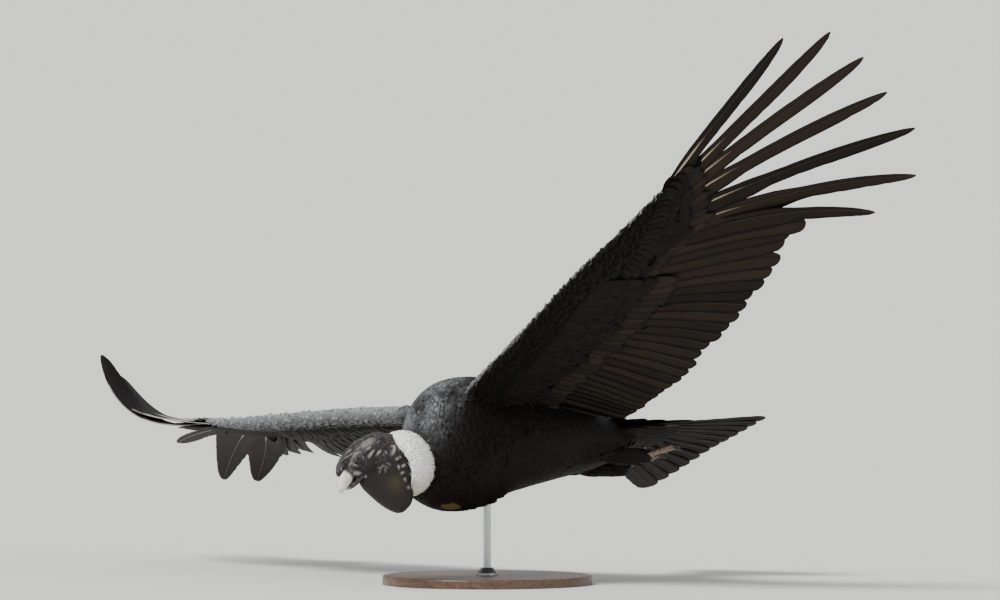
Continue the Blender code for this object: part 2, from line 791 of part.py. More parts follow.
def in_head(forward, left, up):
    """A point given in the head's own frame."""
    return HEAD_TURN @ place(forward, left, up)


def head_loft(name, rows, sides, steps=2):
    rings = []
    for forward, top, bottom, half in finer(rows, steps):
        middle = blend(bottom, top, 0.5)
        up = (in_head(0, 0, 1) - in_head(0, 0, 0)).normalized()
        centre = in_head(forward, 0, middle)
        rings.append(oval(centre, Vector((1, 0, 0)), up, up, sides, half, top - middle, bottom - middle))
    return loft(name, rings, PARTS)


def curved_loft(name, rows, sides, steps=2):
    """A loft whose rings turn with its middle line. Rows are forward, up, half depth and half width."""
    rows = finer(rows, steps)
    middles = [in_head(row[0], 0, row[1]) for row in rows]
    rings = []
    for i, (_, _, deep, half) in enumerate(rows):
        along = (middles[min(i + 1, len(rows) - 1)] - middles[max(i - 1, 0)]).normalized()
        across = Vector((1, 0, 0))
        up = along.cross(across).normalized()
        rings.append(oval(middles[i], across, up, up, sides, half, deep, -deep))
    return loft(name, rings, PARTS)


def build_eye(side):
    forward, left, up = EYE_CENTRE
    centre = in_head(forward, left * side, up)
    return ball("eye_left" if side > 0 else "eye_right", centre, (EYE_RADIUS,) * 3, PARTS, 10, 6)


def ring_of(centre, outward, radii, thick, name, collection, count=10, sides=4):
    """A fleshy rim: an oval ring round centre that faces outward."""
    ahead = (in_head(1, 0, 0) - in_head(0, 0, 0)).normalized()
    over = outward.cross(ahead).normalized()
    ahead = over.cross(outward).normalized()
    bm = bmesh.new()
    rows = []
    for i in range(count):
        turn = 2 * math.pi * i / count
        out = ahead * (radii[0] * math.cos(turn)) + over * (radii[1] * math.sin(turn))
        ring = []
        for k in range(sides):
            bend = 2 * math.pi * k / sides
            around = out.normalized() * math.cos(bend) + outward * math.sin(bend)
            ring.append(bm.verts.new(centre + out + around * thick))
        rows.append(ring)
    for i, row in enumerate(rows):
        following = rows[(i + 1) % count]
        for k in range(sides):
            m = (k + 1) % sides
            bm.faces.new((row[k], row[m], following[m], following[k]))
    bmesh.ops.recalc_face_normals(bm, faces=bm.faces[:])
    return mesh_object(name, bm, collection)


def build_head(neck, wattle):
    head = head_loft("head", SKULL, 14)
    rims = new_collection("rims")
    for side in (1, -1):
        eye = in_head(EYE_CENTRE[0], EYE_CENTRE[1] * side, EYE_CENTRE[2])
        outward = Vector((side, 0, 0))
        ring_of(eye + outward * LID_OUT, outward, LID_RADII, LID_THICKNESS, "lids", rims)
        ear = in_head(EAR[0], EAR[1] * side, EAR[2])
        ring_of(ear, outward, EAR_RADII, EAR_THICKNESS, "ear_rim", rims)
    fuse(head, rims)
    sockets = []
    for side in (1, -1):
        eye = in_head(EYE_CENTRE[0], EYE_CENTRE[1] * side, EYE_CENTRE[2])
        sockets.append(ball("socket", eye, (EYE_RADIUS + GAP * 1.2,) * 3, CUTTERS, 10, 6))
        ear = in_head(EAR[0], EAR[1] * side, EAR[2])
        sockets.append(ball("ear_cup", ear, EAR_CUP, CUTTERS, 6, 4))
    mouth = bmesh.new()
    bmesh.ops.create_cube(mouth, size=1)
    bmesh.ops.scale(mouth, vec=MOUTH_SIZE, verts=mouth.verts[:])
    into = HEAD_TURN @ Matrix.Translation(place(MOUTH_MIDDLE[0], 0, MOUTH_MIDDLE[1]))
    bmesh.ops.transform(mouth, matrix=into, verts=mouth.verts[:])
    cut(head, *sockets, mesh_object("mouth", mouth, CUTTERS), swollen(neck), swollen(wattle))
    return head


def build_bill(head, wattle):
    upper = curved_loft("bill_upper", BILL_UPPER, 10)
    cut(upper, swollen(head))
    nostrils = []
    for side in (1, -1):
        spot = in_head(NOSTRIL[0], NOSTRIL[1] * side, NOSTRIL[2])
        nostrils.append(ball("nostril", spot, NOSTRIL_RADII, CUTTERS, 6, 4))
    cut(upper, *nostrils)
    lower = curved_loft("bill_lower", BILL_LOWER, 8)
    cut(lower, swollen(head), swollen(upper), swollen(wattle))
    return upper, lower


def build_comb(head, upper):
    """The fleshy comb of an adult male, from the crown over the base of the bill, with low bulbs."""
    comb = curved_loft("comb", COMB, 10, 1)
    bulbs = new_collection("comb_bulbs")
    for i in range(COMB_BULBS):
        share = i / (COMB_BULBS - 1)
        side = COMB_BULB_SIDE if i % 2 else -COMB_BULB_SIDE
        spot = in_head(blend(*COMB_BULB_ENDS, share), side, 0.043 - 0.019 * (share - 0.45) ** 2)
        ball("bulb", spot, COMB_BULB_RADII, bulbs, 6, 4)
    fuse(comb, bulbs)
    cut(comb, swollen(head), swollen(upper))
    return comb


def build_tail(torso):
    rump = []
    up = Vector((0, 0, 1))
    for forward, middle, half, deep in RUMP:
        rump.append(oval(place(forward, 0, middle), Vector((1, 0, 0)), up, up, 12, half, deep, -deep))
    tail = loft("tail", rump, PARTS)
    pieces = new_collection("tail_vanes")
    middle = (TAIL_FEATHERS - 1) / 2
    for i in range(TAIL_FEATHERS):
        share = (i - middle) / middle
        # From above, the middle pair lies on top and each next feather lies below it.
        layer = -0.0019 * abs(i - middle)
        root = place(TAIL_ROOT[0], TAIL_ROOT_HALF * share, TAIL_ROOT[1] + 0.006 + layer)
        tip_forward = TAIL_TIP[0] + TAIL_ROUNDING * share * share
        tip = place(tip_forward, TAIL_TIP_HALF * share, TAIL_TIP[1] + layer + TAIL_ROLL * share)
        feather(root, tip, tip, up, TAIL_FEATHER_HALF, TAIL_FEATHER_HALF, QUILL, FEATHER_DEPTH, pieces)
    for over in (1, -1):
        for i in range(5):
            share = (i - 2) / 2
            layer = -0.0022 * abs(i - 2) * over
            root = place(-0.525, 0.026 * share, TAIL_ROOT[1] + over * 0.014 + layer * 0.6)
            back = -0.668 + 0.012 * share * share
            tip = place(back, 0.085 * share, TAIL_ROOT[1] - 0.017 + over * 0.021 + layer)
            feather(root, tip, tip, up, TAIL_COVERT_HALF, TAIL_COVERT_HALF, COVERT, COVERT_DEPTH, pieces)
    fuse(tail, pieces)
    cut(tail, swollen(torso))
    return tail


def build_thigh(side, torso):
    """The feathered leg, laid back along the belly."""
    name = "thigh_left" if side > 0 else "thigh_right"
    points = [place(forward, side * out, up) for forward, out, up, _ in THIGH]
    thigh = limb(name, points, [radius for _, _, _, radius in THIGH], PARTS, 10)
    cut(thigh, swollen(torso))
    return thigh


def build_foot(side, thigh, torso):
    """Bare shank and four toes in one piece, tucked back under the tail, with claws of their own."""
    word = "left" if side > 0 else "right"
    toe_root = place(TOE_ROOT[0], side * LEG_OUT, TOE_ROOT[1])
    ankle = place(ANKLE[0], side * ANKLE[1], ANKLE[2])
    points = [blend(ankle, toe_root, t) for t in (0.0, 0.35, 0.75, 1.0)]
    foot = limb(f"foot_{word}", points, SHANK_RADII, PARTS, 8)
    toes = new_collection("toes")
    claws = []
    for number, (turn, length, thick) in enumerate(TOES):
        angle = math.radians(turn) * side
        way = place(-math.cos(angle), math.sin(angle), 0)
        start = toe_root - way * 0.004
        ahead = way * length + Vector((0, 0, TOE_RISE))
        knots = [start + ahead * t for t in (0.0, 0.3, 0.6, 0.85, 1.0)]
        limb("toe", knots, [thick, thick * 0.82, thick * 0.95, thick * 0.8, thick * 0.6], toes, 6)
        end = knots[-1] + way * (GAP * 2) + Vector((0, 0, -0.0004))
        hook = [end, end + way * 0.010 - Vector((0, 0, 0.001)), end + way * 0.019 - Vector((0, 0, 0.006))]
        claws.append((f"claw_{word}_{number + 1}", hook, thick))
    fuse(foot, toes)
    cut(foot, swollen(thigh), swollen(torso))
    made = [foot]
    for name, hook, thick in claws:
        claw = limb(name, hook, [thick * 0.52, thick * 0.40, thick * 0.08], PARTS, 5)
        cut(claw, swollen(foot))
        made.append(claw)
    return made


def turned(name, profile, steps, collection):
    """A solid turned about the upright axis: a profile of (radius, height) pairs spun once round."""
    bm = bmesh.new()
    verts = [bm.verts.new((radius, 0, height)) for radius, height in profile]
    edges = [bm.edges.new(pair) for pair in zip(verts, verts[1:])]
    about = {"cent": (0, 0, 0), "axis": (0, 0, 1), "angle": 2 * math.pi}
    bmesh.ops.spin(bm, geom=verts + edges, steps=steps, use_merge=True, **about)
    bmesh.ops.remove_doubles(bm, verts=bm.verts[:], dist=1e-6)
    bmesh.ops.recalc_face_normals(bm, faces=bm.faces[:])
    return mesh_object(name, bm, collection)


def build_stand(torso):
    r, h, b = BASE_RADIUS, BASE_THICKNESS, BASE_BEVEL
    base = turned("stand_base", [(0, 0), (r, 0), (r, h - b), (r - b, h), (0, h)], 32, PARTS)
    rod_top = SHOULDER_HEIGHT - ROD_TOP_DROP
    low = h + GAP
    rod = turned("stand_rod", [(0, low), (ROD_RADIUS, low), (ROD_RADIUS, rod_top), (0, rod_top)], 12, PARTS)
    cut(rod, swollen(torso))
    inner = ROD_RADIUS + GAP
    c = COLLAR_RADIUS
    top = low + COLLAR_HEIGHT
    neck = c * 0.6
    profile = [
        (inner, low), (c, low), (c, low + 0.005),
        (neck, top - 0.002), (neck - 0.002, top), (inner, top), (inner, low),
    ]
    collar = turned("stand_collar", profile, 14, PARTS)
    return base, rod, collar


def hold_up(birds):
    """Banks and pitches the bird, and raises it so that its weight comes over the rod."""
    turn = Matrix.Rotation(-NOSE_UP, 4, "X") @ Matrix.Rotation(-BANK, 4, "Y")
    over_rod = turn @ place(-STAND_BACK, 0, -ROD_TOP_DROP)
    lift = Matrix.Translation((-over_rod.x, -over_rod.y, SHOULDER_HEIGHT))
    for obj in birds:
        obj.data.transform(lift @ turn)


clear_scene()
PARTS = new_collection("andean_condor")
CUTTERS = new_collection("cutters")

torso = build_torso()
neck, neck_room = build_neck(torso)
wattle = round_neck("wattle", WATTLE, 10)
cut(wattle, swollen(neck))
head = build_head(neck, wattle)
bill_upper, bill_lower = build_bill(head, wattle)
comb = build_comb(head, bill_upper)
eyes = [build_eye(1), build_eye(-1)]
ruff = build_ruff(torso, neck_room, wattle, head)
tail = build_tail(torso)
wing_left = build_wing("left", torso)
wing_right = build_wing("right", torso)
legs = []
for leg_side in (1, -1):
    thigh = build_thigh(leg_side, torso)
    legs.append(thigh)
    legs.extend(build_foot(leg_side, thigh, torso))

body = [torso, neck, wattle, head, bill_upper, bill_lower, comb, ruff, tail]
hold_up([*body, *eyes, *wing_left, *wing_right, *legs])
stand = build_stand(torso)

FEATHER_BLACK = new_material("black_feather", (0.018, 0.017, 0.017), 0.55)
SKIN = new_material("dark_skin", (0.055, 0.048, 0.046), 0.60)
DOWN = new_material("white_down", (0.85, 0.84, 0.80), 0.90)
IVORY = new_material("ivory_horn", (0.78, 0.72, 0.60), 0.35)
EYE = new_material("brown_eye", (0.06, 0.03, 0.02), 0.10)
FOOT_SKIN = new_material("foot_skin", (0.36, 0.26, 0.22), 0.60)
CLAW = new_material("claw_horn", (0.03, 0.03, 0.03), 0.35)
WOOD = new_material("stand_wood", (0.10, 0.07, 0.05), 0.45)
STEEL = new_material("stand_steel", (0.55, 0.55, 0.56), 0.30, 1.0)
FINISHES = {
    "torso": FEATHER_BLACK, "tail": FEATHER_BLACK, "wing": FEATHER_BLACK, "thigh": FEATHER_BLACK,
    "neck": SKIN, "wattle": SKIN, "head": SKIN, "comb": SKIN, "ruff": DOWN, "bill": IVORY, "eye": EYE,
    "foot": FOOT_SKIN, "claw": CLAW, "stand_base": WOOD, "stand_rod": STEEL, "stand_collar": STEEL,
}
for obj in PARTS.objects:
    finish = next(made for word, made in FINISHES.items() if obj.name.startswith(word))
    obj.data.materials.clear()
    obj.data.materials.append(finish)
    print(obj.name, len(obj.data.polygons))
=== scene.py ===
"""An Andean condor soaring in a bank over a plain display stand, dressed over the fixed solids.

The bird is worked in its own frame, with its left wing along +X, its tail along +Y and its back up, in metres
from the middle of the shoulders. Each finished piece is then banked and raised as the solids are.
"""

import json
import math

import bmesh
import bpy
import numpy as np
from mathutils import Matrix, Vector, noise
from mathutils.bvhtree import BVHTree

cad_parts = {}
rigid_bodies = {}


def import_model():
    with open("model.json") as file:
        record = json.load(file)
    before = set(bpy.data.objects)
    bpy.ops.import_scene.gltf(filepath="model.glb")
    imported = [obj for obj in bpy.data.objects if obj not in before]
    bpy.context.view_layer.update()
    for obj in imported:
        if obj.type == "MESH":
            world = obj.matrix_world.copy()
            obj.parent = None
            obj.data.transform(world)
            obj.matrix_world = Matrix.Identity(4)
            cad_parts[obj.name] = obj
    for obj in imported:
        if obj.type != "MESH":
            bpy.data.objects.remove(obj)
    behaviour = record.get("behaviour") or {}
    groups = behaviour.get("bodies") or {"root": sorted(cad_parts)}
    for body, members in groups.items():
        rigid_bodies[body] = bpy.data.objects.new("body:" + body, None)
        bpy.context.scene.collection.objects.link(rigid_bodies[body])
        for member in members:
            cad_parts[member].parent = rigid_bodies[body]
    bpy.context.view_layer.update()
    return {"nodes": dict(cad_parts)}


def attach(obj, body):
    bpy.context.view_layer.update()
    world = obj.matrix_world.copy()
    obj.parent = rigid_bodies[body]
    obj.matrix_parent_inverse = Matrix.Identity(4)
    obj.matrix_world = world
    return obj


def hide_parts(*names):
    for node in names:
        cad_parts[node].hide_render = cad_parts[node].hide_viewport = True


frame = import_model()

# How the bird is held
BANK = math.radians(20.7)
NOSE_UP = math.radians(1.3)
SHOULDER_HEIGHT = 0.395
STAND_BACK = 0.13

# Stand
BASE_RADIUS = 0.25
BASE_THICKNESS = 0.022
BASE_BEVEL = 0.004

# The photograph's camera
PHOTO_WIDTH = 1000
PHOTO_HEIGHT = 600
PIXELS_PER_METRE = 420
CAMERA_AZIMUTH = math.radians(50)
CAMERA_ELEVATION = math.radians(2)
CAMERA_DISTANCE = 40.0
SENSOR = 36.0
BIRD_LEFT_OF_MIDDLE = 60
BIRD_BELOW_MIDDLE = 120

# Coat
SKIN_DEPTH = 0.007
BODY_VOXEL = 0.008
HEAD_VOXEL = 0.0014
FOOT_VOXEL = 0.0022
PATCH = 0.003
SHINGLE = math.radians(8)
# How far feathers take the shading of the skin below them
COAT_SOFTNESS = 0.82
DOWN_SOFTNESS = 0.6
BODY_DEPTH = 0.0035
ROOT_DEPTH = 0.0012
TRIES_FOR_EACH = 5
BARB_SPACING = 0.004
BARB_SLOPE = 1.1
# Thicknesses of feathers and shafts
SMALL_THICKNESS = 0.0005
LONG_THICKNESS = 0.0009
COVERT_THICKNESS = 0.0011
TAIL_THICKNESS = 0.0014
VANE_THICKNESS = 0.0016
TAIL_SHAFT_THICKNESS = 0.0040
SHAFT_THICKNESS = 0.0050
TUFT_THICKNESS = 0.0012

# Body, neck, throat and skull, as in the solids: each row is a place forward of the shoulders, the heights or
# the middle and half height there, and half the width
TORSO = [
    (0.108, -0.040, -0.170, 0.060),
    (0.090, -0.012, -0.196, 0.088),
    (0.050, 0.056, -0.216, 0.122),
    (0.000, 0.094, -0.226, 0.140),
    (-0.080, 0.106, -0.208, 0.144),
    (-0.180, 0.094, -0.182, 0.138),
    (-0.300, 0.070, -0.156, 0.120),
    (-0.410, 0.040, -0.134, 0.096),
    (-0.500, 0.012, -0.114, 0.066),
    (-0.556, -0.020, -0.090, 0.032),
]
# The rump's rows are a place forward, half the width and half the height.
RUMP = [
    (-0.50, 0.045, 0.030),
    (-0.56, 0.048, 0.018),
    (-0.60, 0.045, 0.010),
]
NECK = [
    (0.084, -0.106, 0.046, 0.042),
    (0.130, -0.109, 0.060, 0.048),
    (0.180, -0.106, 0.072, 0.048),
    (0.222, -0.103, 0.064, 0.043),
    (0.248, -0.100, 0.048, 0.035),
    (0.258, -0.098, 0.034, 0.026),
]
WATTLE = [
    (0.146, -0.180, 0.024, 0.018),
    (0.160, -0.184, 0.036, 0.026),
    (0.186, -0.187, 0.045, 0.030),
    (0.222, -0.176, 0.042, 0.027),
    (0.254, -0.160, 0.034, 0.021),
    (0.276, -0.150, 0.024, 0.015),
    (0.286, -0.145, 0.014, 0.009),
]
HEAD_ORIGIN = (0.2575, -0.0924)
HEAD_PITCH = math.radians(38)
SKULL = [
    (-0.084, 0.006, -0.020, 0.016),
    (-0.070, 0.023, -0.036, 0.031),
    (-0.036, 0.036, -0.043, 0.037),
    (0.000, 0.040, -0.043, 0.036),
    (0.032, 0.037, -0.037, 0.031),
    (0.058, 0.029, -0.026, 0.023),
    (0.074, 0.021, -0.016, 0.014),
]
BILL_UPPER = [
    (0.058, 0.006, 0.0190, 0.0165),
    (0.080, 0.006, 0.0185, 0.0150),
    (0.099, 0.003, 0.0165, 0.0128),
    (0.113, 0.000, 0.0130, 0.0100),
    (0.1235, -0.005, 0.0085, 0.0065),
    (0.1280, -0.0115, 0.0040, 0.0030),
]
BILL_LOWER = [
    (0.050, -0.0210, 0.0090, 0.0150),
    (0.074, -0.0205, 0.0080, 0.0130),
    (0.094, -0.0180, 0.0065, 0.0100),
    (0.108, -0.0150, 0.0030, 0.0050),
]
COMB = [
    (-0.030, 0.032, 0.006, 0.006),
    (-0.012, 0.034, 0.010, 0.011),
    (0.014, 0.034, 0.0125, 0.013),
    (0.046, 0.033, 0.014, 0.013),
    (0.074, 0.030, 0.013, 0.011),
    (0.094, 0.025, 0.009, 0.008),
    (0.103, 0.022, 0.004, 0.004),
]
EYE_CENTRE = (0.044, 0.0225, 0.014)
EYE_RADIUS = 0.0085
LID_THICKNESS = 0.0014
LID_OPENING = (math.radians(43), math.radians(30))
BARE_FROM = 0.098
WRINKLE_HEIGHT = 0.0007
GRAIN_HEIGHT = 0.00025
THROAT_FADE = 0.018
EYE_GAZE_FORWARD = -0.25
THROAT_LINE = ((0.10, 0.20, 0.30), (-0.10, -0.10, -0.13))
CROP_PATCH = (454, 506)
CROP_SIZE = 0.024
CROP_SHAPE = (1.0, 1.2, 1.6)
THROAT_PATCH = (396, 483)
LOOSE_BREAST = (477, 501)
THROAT_SPREAD = 0.022
THROAT_OLIVE = 0.45

# Folds of the bare skin as they lie in the photograph: width and height in metres, how strong the painted
# highlight on a fold or the painted shade in a furrow is, and its points in pixels
FOLDS = [
    # Comb and forehead
    (0.0020, 0.0008, 0.5, [(341.0, 467.0), (341.5, 471.0)]),
    (0.0018, 0.0012, 0.5, [(344.5, 459.0), (348.5, 455.0)]),
    (0.0016, 0.0014, 0.6, [(346.5, 453.5), (351.5, 449.5)]),
    (0.0016, 0.0012, 0.5, [(347.5, 457.5), (352.5, 453.2)]),
    (0.0017, -0.0014, 0.7, [(346.0, 456.6), (351.5, 451.8)]),
    (0.0017, -0.0014, 0.7, [(349.8, 458.6), (353.8, 455.2)]),
    (0.0018, -0.0016, 0.6, [(343.0, 463.0), (346.5, 459.0)]),
    (0.0034, 0.0018, 0.4, [(361.0, 445.0), (368.0, 440.8), (376.0, 438.6)]),
    (0.0016, -0.0014, 0.6, [(358.5, 443.4), (365.0, 439.0), (373.0, 436.0), (381.0, 437.6)]),
    (0.0015, -0.0010, 0.5, [(353.0, 447.5), (357.5, 443.2)]),
    (0.0016, 0.0014, 0.4, [(356.5, 450.6), (361.5, 446.0)]),
    (0.0017, 0.0012, 0.3, [(376.0, 443.5), (380.5, 440.5)]),
    (0.0016, -0.0014, 0.5, [(372.5, 444.5), (378.0, 440.5)]),
    # Brow, lids and cheek
    (0.0018, 0.0022, 0.7, [(351.5, 459.5), (354.5, 455.8), (358.4, 452.6), (361.5, 452.0)]),
    (0.0015, 0.0014, 0.6, [(353.4, 464.6), (357.4, 466.2)]),
    (0.0014, 0.0012, 0.5, [(362.8, 455.8), (364.0, 459.0)]),
    (0.0018, 0.0012, 0.5, [(349.5, 465.5), (352.0, 461.5)]),
    (0.0017, -0.0022, 0.9, [(351.0, 466.8), (356.0, 469.0), (361.0, 470.0), (364.5, 472.5), (366.5, 473.5)]),
    (0.0044, 0.0010, 0.75, [(352.6, 472.8), (356.5, 473.4), (361.0, 473.2)]),
    (0.0090, -0.0003, 0.70, [(363.0, 469.5), (367.0, 466.0), (373.0, 464.5)]),
    (0.0080, -0.0003, 0.60, [(366.0, 474.0), (374.0, 471.0)]),
    (0.0080, -0.0003, 0.55, [(379.5, 437.5), (384.5, 440.5), (389.0, 445.0)]),
    (0.0026, -0.0016, 0.8, [(365.5, 461.5), (365.0, 457.0), (368.6, 452.6), (372.6, 448.9)]),
    (0.0022, 0.0020, 0.6, [(366.6, 450.2), (371.0, 447.2)]),
    (0.0026, 0.0022, 0.75, [(368.4, 458.2), (371.4, 453.7), (374.4, 450.0)]),
    (0.0020, -0.0022, 0.9, [(372.4, 458.0), (374.4, 454.4), (377.6, 450.8)]),
    (0.0028, 0.0024, 0.75, [(376.6, 455.3), (378.6, 452.8), (381.2, 450.6)]),
    (0.0020, -0.0020, 0.8, [(380.6, 457.0), (382.4, 453.0), (384.0, 449.0)]),
    (0.0024, 0.0026, 0.6, [(386.4, 452.8), (386.5, 452.9)]),
    (0.0018, -0.0020, 0.9, [(383.4, 453.6), (384.0, 449.8), (387.0, 448.5), (389.6, 451.0), (389.2, 455.4)]),
    (0.0036, 0.0028, 0.75, [(390.8, 446.6), (394.0, 446.4), (394.6, 450.0), (391.9, 455.2)]),
    (0.0022, -0.0016, 0.7, [(376.0, 460.0), (384.0, 458.0), (391.0, 459.0)]),
    (0.0080, 0.0006, 0.42, [(361.0, 448.0), (368.0, 443.0), (375.0, 440.0)]),
    (0.0060, 0.0004, 0.35, [(352.0, 459.0), (357.0, 452.0)]),
    # Folds in a row round the neck in front of the ruff
    (0.0026, -0.0020, 0.8, [(396.0, 449.0), (397.6, 455.0), (400.0, 461.0)]),
    (0.0030, 0.0026, 0.75, [(395.6, 459.8), (398.4, 458.2), (400.8, 456.8)]),
    (0.0020, -0.0024, 0.9, [(396.6, 463.0), (399.6, 461.6), (402.6, 460.2)]),
    (0.0030, 0.0026, 0.75, [(398.2, 465.2), (398.8, 469.4)]),
    (0.0030, 0.0026, 0.75, [(401.6, 467.2), (405.4, 464.4)]),
    (0.0020, -0.0024, 0.9, [(401.4, 470.4), (405.0, 468.6), (407.4, 466.6)]),
    (0.0030, 0.0026, 0.75, [(400.6, 474.0), (403.8, 471.6)]),
    (0.0020, -0.0024, 0.9, [(402.4, 476.4), (406.6, 474.0)]),
    (0.0032, 0.0028, 0.75, [(404.2, 477.4), (405.8, 481.4)]),
    (0.0020, -0.0024, 0.9, [(404.6, 484.4), (409.4, 483.4)]),
    (0.0034, 0.0026, 0.70, [(407.0, 486.8), (409.6, 488.2)]),
    (0.0030, -0.0014, 0.7, [(403.0, 456.0), (407.0, 463.0), (410.0, 471.0), (411.6, 480.0), (411.6, 489.0)]),
    (0.0022, -0.0014, 0.7, [(396.6, 466.0), (398.0, 473.0), (401.4, 480.0), (404.4, 489.0)]),
    # Star of wrinkles over the throat, and a painted highlight on a small fold at the corner of the mouth
    (0.0022, 0.0012, 0.32, [(377.5, 467.6), (380.7, 468.6), (382.4, 466.2), (384.0, 464.4)]),
    (0.0022, 0.0012, 0.30, [(386.0, 463.2), (388.8, 463.7), (391.0, 466.2)]),
    (0.0022, 0.0012, 0.30, [(381.0, 469.0), (379.9, 471.2), (379.3, 473.4)]),
    (0.0022, 0.0012, 0.30, [(384.6, 467.6), (385.6, 470.0), (385.2, 473.0)]),
    (0.0022, 0.0012, 0.28, [(383.2, 466.2), (386.6, 466.8), (388.4, 468.6)]),
    (0.0016, -0.0012, 0.5, [(382.4, 470.0), (382.6, 473.4)]),
    (0.0016, -0.0012, 0.5, [(387.6, 470.2), (388.6, 473.0)]),
    (0.0024, 0.0014, 1.0, [(365.6, 476.2), (365.7, 476.4)]),
]

# Ruff of down
RUFF_CENTRE = (0.140, -0.109)
RUFF_RADIUS = 0.070
RUFF_LENGTH = 0.082
RUFF_DROOP = math.radians(18)
RUFF_RINGS = 24
RUFF_SIDES = 48
TUFT_SPACING = 0.0034
TUFT_WIDTH = 0.0060
TUFT_LENGTHS = (0.016, 0.026)
TUFT_LIFTS = (0.002, 0.0055)

# Wing curves over the distance out from the body's middle line
LEADING_FORWARD = [(0.10, 0.004), (0.145, 0.010), (0.34, 0.002), (0.60, 0.028), (0.75, 0.000), (0.90, -0.041)]
TRAILING_FORWARD = [
    (0.10, -0.484), (0.164, -0.477), (0.222, -0.450), (0.32, -0.426), (0.45, -0.412), (0.60, -0.405),
    (0.867, -0.400),
]
RISE = {
    "left": [(0.10, 0.022), (0.145, 0.038), (0.34, 0.098), (0.60, 0.154), (0.75, 0.206), (0.90, 0.270)],
    "right": [(0.10, 0.050), (0.145, 0.068), (0.34, 0.133), (0.60, 0.208), (0.75, 0.254), (0.90, 0.307)],
}
DROP = {
    "left": [
        (0.10, 0.055), (0.164, 0.076), (0.222, 0.103), (0.32, 0.138), (0.45, 0.152), (0.60, 0.139),
        (0.867, 0.141),
    ],
    "right": [(0.10, 0.085), (0.20, 0.096), (0.42, 0.104), (0.60, 0.104), (0.83, 0.095), (0.95, 0.084)],
}
THICKNESS = [(0.10, 0.060), (0.145, 0.056), (0.34, 0.052), (0.60, 0.046), (0.75, 0.036), (0.90, 0.026)]
CORE_CHORD = [(0.10, 0.180), (0.34, 0.170), (0.60, 0.155), (0.75, 0.125), (0.90, 0.070)]
CORE_PROFILE = (
    (1.00, 0.12), (0.70, 0.22), (0.36, 0.44), (0.10, 0.40), (0.00, 0.12),
    (0.00, -0.14), (0.10, -0.36), (0.36, -0.42), (0.70, -0.22), (1.00, -0.12),
)
WRIST = 0.60
HAND_END = 0.90
WING_START = 0.10
BODY_HALF = 0.13
# Where the flesh of a wing starts, inside the body
CORE_INSIDE = 0.06

# Flight feathers
SECONDARIES = 22
PRIMARIES = 10
ROOT_SHARE = 0.20
SECONDARY_ROOTS = (0.165, 0.60)
SECONDARY_TIPS = (0.125, 0.860)
FAN_POWER = 1.15
SECONDARY_WIDTHS = (0.044, 0.052)
SECONDARY_PANEL = 0.85
# Share of a secondary's width that lies ahead of its shaft
LEAD_SHARE = 0.38
COVERT_ROOTS = (0.135, 0.612)
COVERT_UNEVENNESS = 0.016
TERTIALS = (
    (0.112, 0.085, 0.60),
    (0.128, 0.094, 0.74),
    (0.146, 0.106, 0.87),
    (0.150, 0.118, 1.00),
    (0.158, 0.124, 0.95),
)
FIRST_FINGER = 3
STACK_STEP = 0.0017
PRIMARY_TIPS = {
    "left": [
        (-0.389, 0.900, 0.140),
        (-0.374, 0.945, 0.151),
        (-0.375, 1.000, 0.149),
        (-0.454, 1.155, 0.120),
        (-0.516, 1.255, 0.177),
        (-0.495, 1.310, 0.275),
        (-0.405, 1.340, 0.353),
        (-0.314, 1.385, 0.423),
        (-0.219, 1.395, 0.481),
        (-0.101, 1.360, 0.477),
    ],
    "right": [
        (-0.386, 0.955, 0.246),
        (-0.386, 1.005, 0.260),
        (-0.390, 1.060, 0.276),
        (-0.410, 1.180, 0.243),
        (-0.419, 1.310, 0.291),
        (-0.341, 1.360, 0.404),
        (-0.259, 1.410, 0.563),
        (-0.246, 1.410, 0.597),
        (-0.194, 1.380, 0.621),
        (-0.135, 1.330, 0.622),
    ],
}
PRIMARY_BOW = {
    "left": (0.010, 0.010, 0.010, 0.012, 0.016, 0.018, 0.021, 0.014, 0.005, 0.021),
    "right": (0.006, 0.006, 0.002, -0.014, 0.004, 0.014, 0.021, 0.024, 0.032, 0.014),
}
# How late each primary bends up, and how far it is turned about its shaft beyond the others, in degrees
PRIMARY_BEND = {
    "left": (2.8,) * PRIMARIES,
    "right": (2.8, 2.8, 2.8, 2.8, 2.8, 2.8, 2.8, 2.8, 3.1, 2.5),
}
PRIMARY_TWIST = {
    "left": (0,) * PRIMARIES,
    "right": (0, 0, 0, 0, 0, 0, 4, 10, 18, 26),
}
FINGER_LEAD = {
    "left": (0.020, 0.020, 0.020, 0.020, 0.020, 0.020, 0.020),
    "right": (0.062, 0.062, 0.022, 0.020, 0.026, 0.030, 0.018),
}
FINGER_TRAIL = {
    "left": (0.040, 0.040, 0.040, 0.040, 0.040, 0.035, 0.030),
    "right": (0.050, 0.044, 0.040, 0.062, 0.056, 0.056, 0.060),
}

# Fingers narrow past a notch, those nearest the wing's tip nearest their roots; the first two of the right
# hand stay broad, as they overlap the hand's edge.
NOTCHES = (0.60, 0.50, 0.38, 0.31, 0.27, 0.235, 0.20)
OUTERMOST_BASE = 0.60
BROAD_FINGER = [
    (0.0, 0.25), (0.10, 0.80), (0.37, 1.0), (0.50, 0.92),
    (0.74, 0.64), (0.91, 0.38), (0.98, 0.20), (1.0, 0.08),
]
BROAD_FINGERS = {"left": 0, "right": 2}

# Tail
TAIL_FEATHERS = 12
TAIL_ROOT = (-0.535, -0.036)
TAIL_TIP = (-0.833, -0.076)
TAIL_ROOT_HALF = 0.050
TAIL_TIP_HALF = 0.228
TAIL_ROLL = 0.010
TAIL_FEATHER_HALF = 0.030
TAIL_COVERT_HALF = 0.017
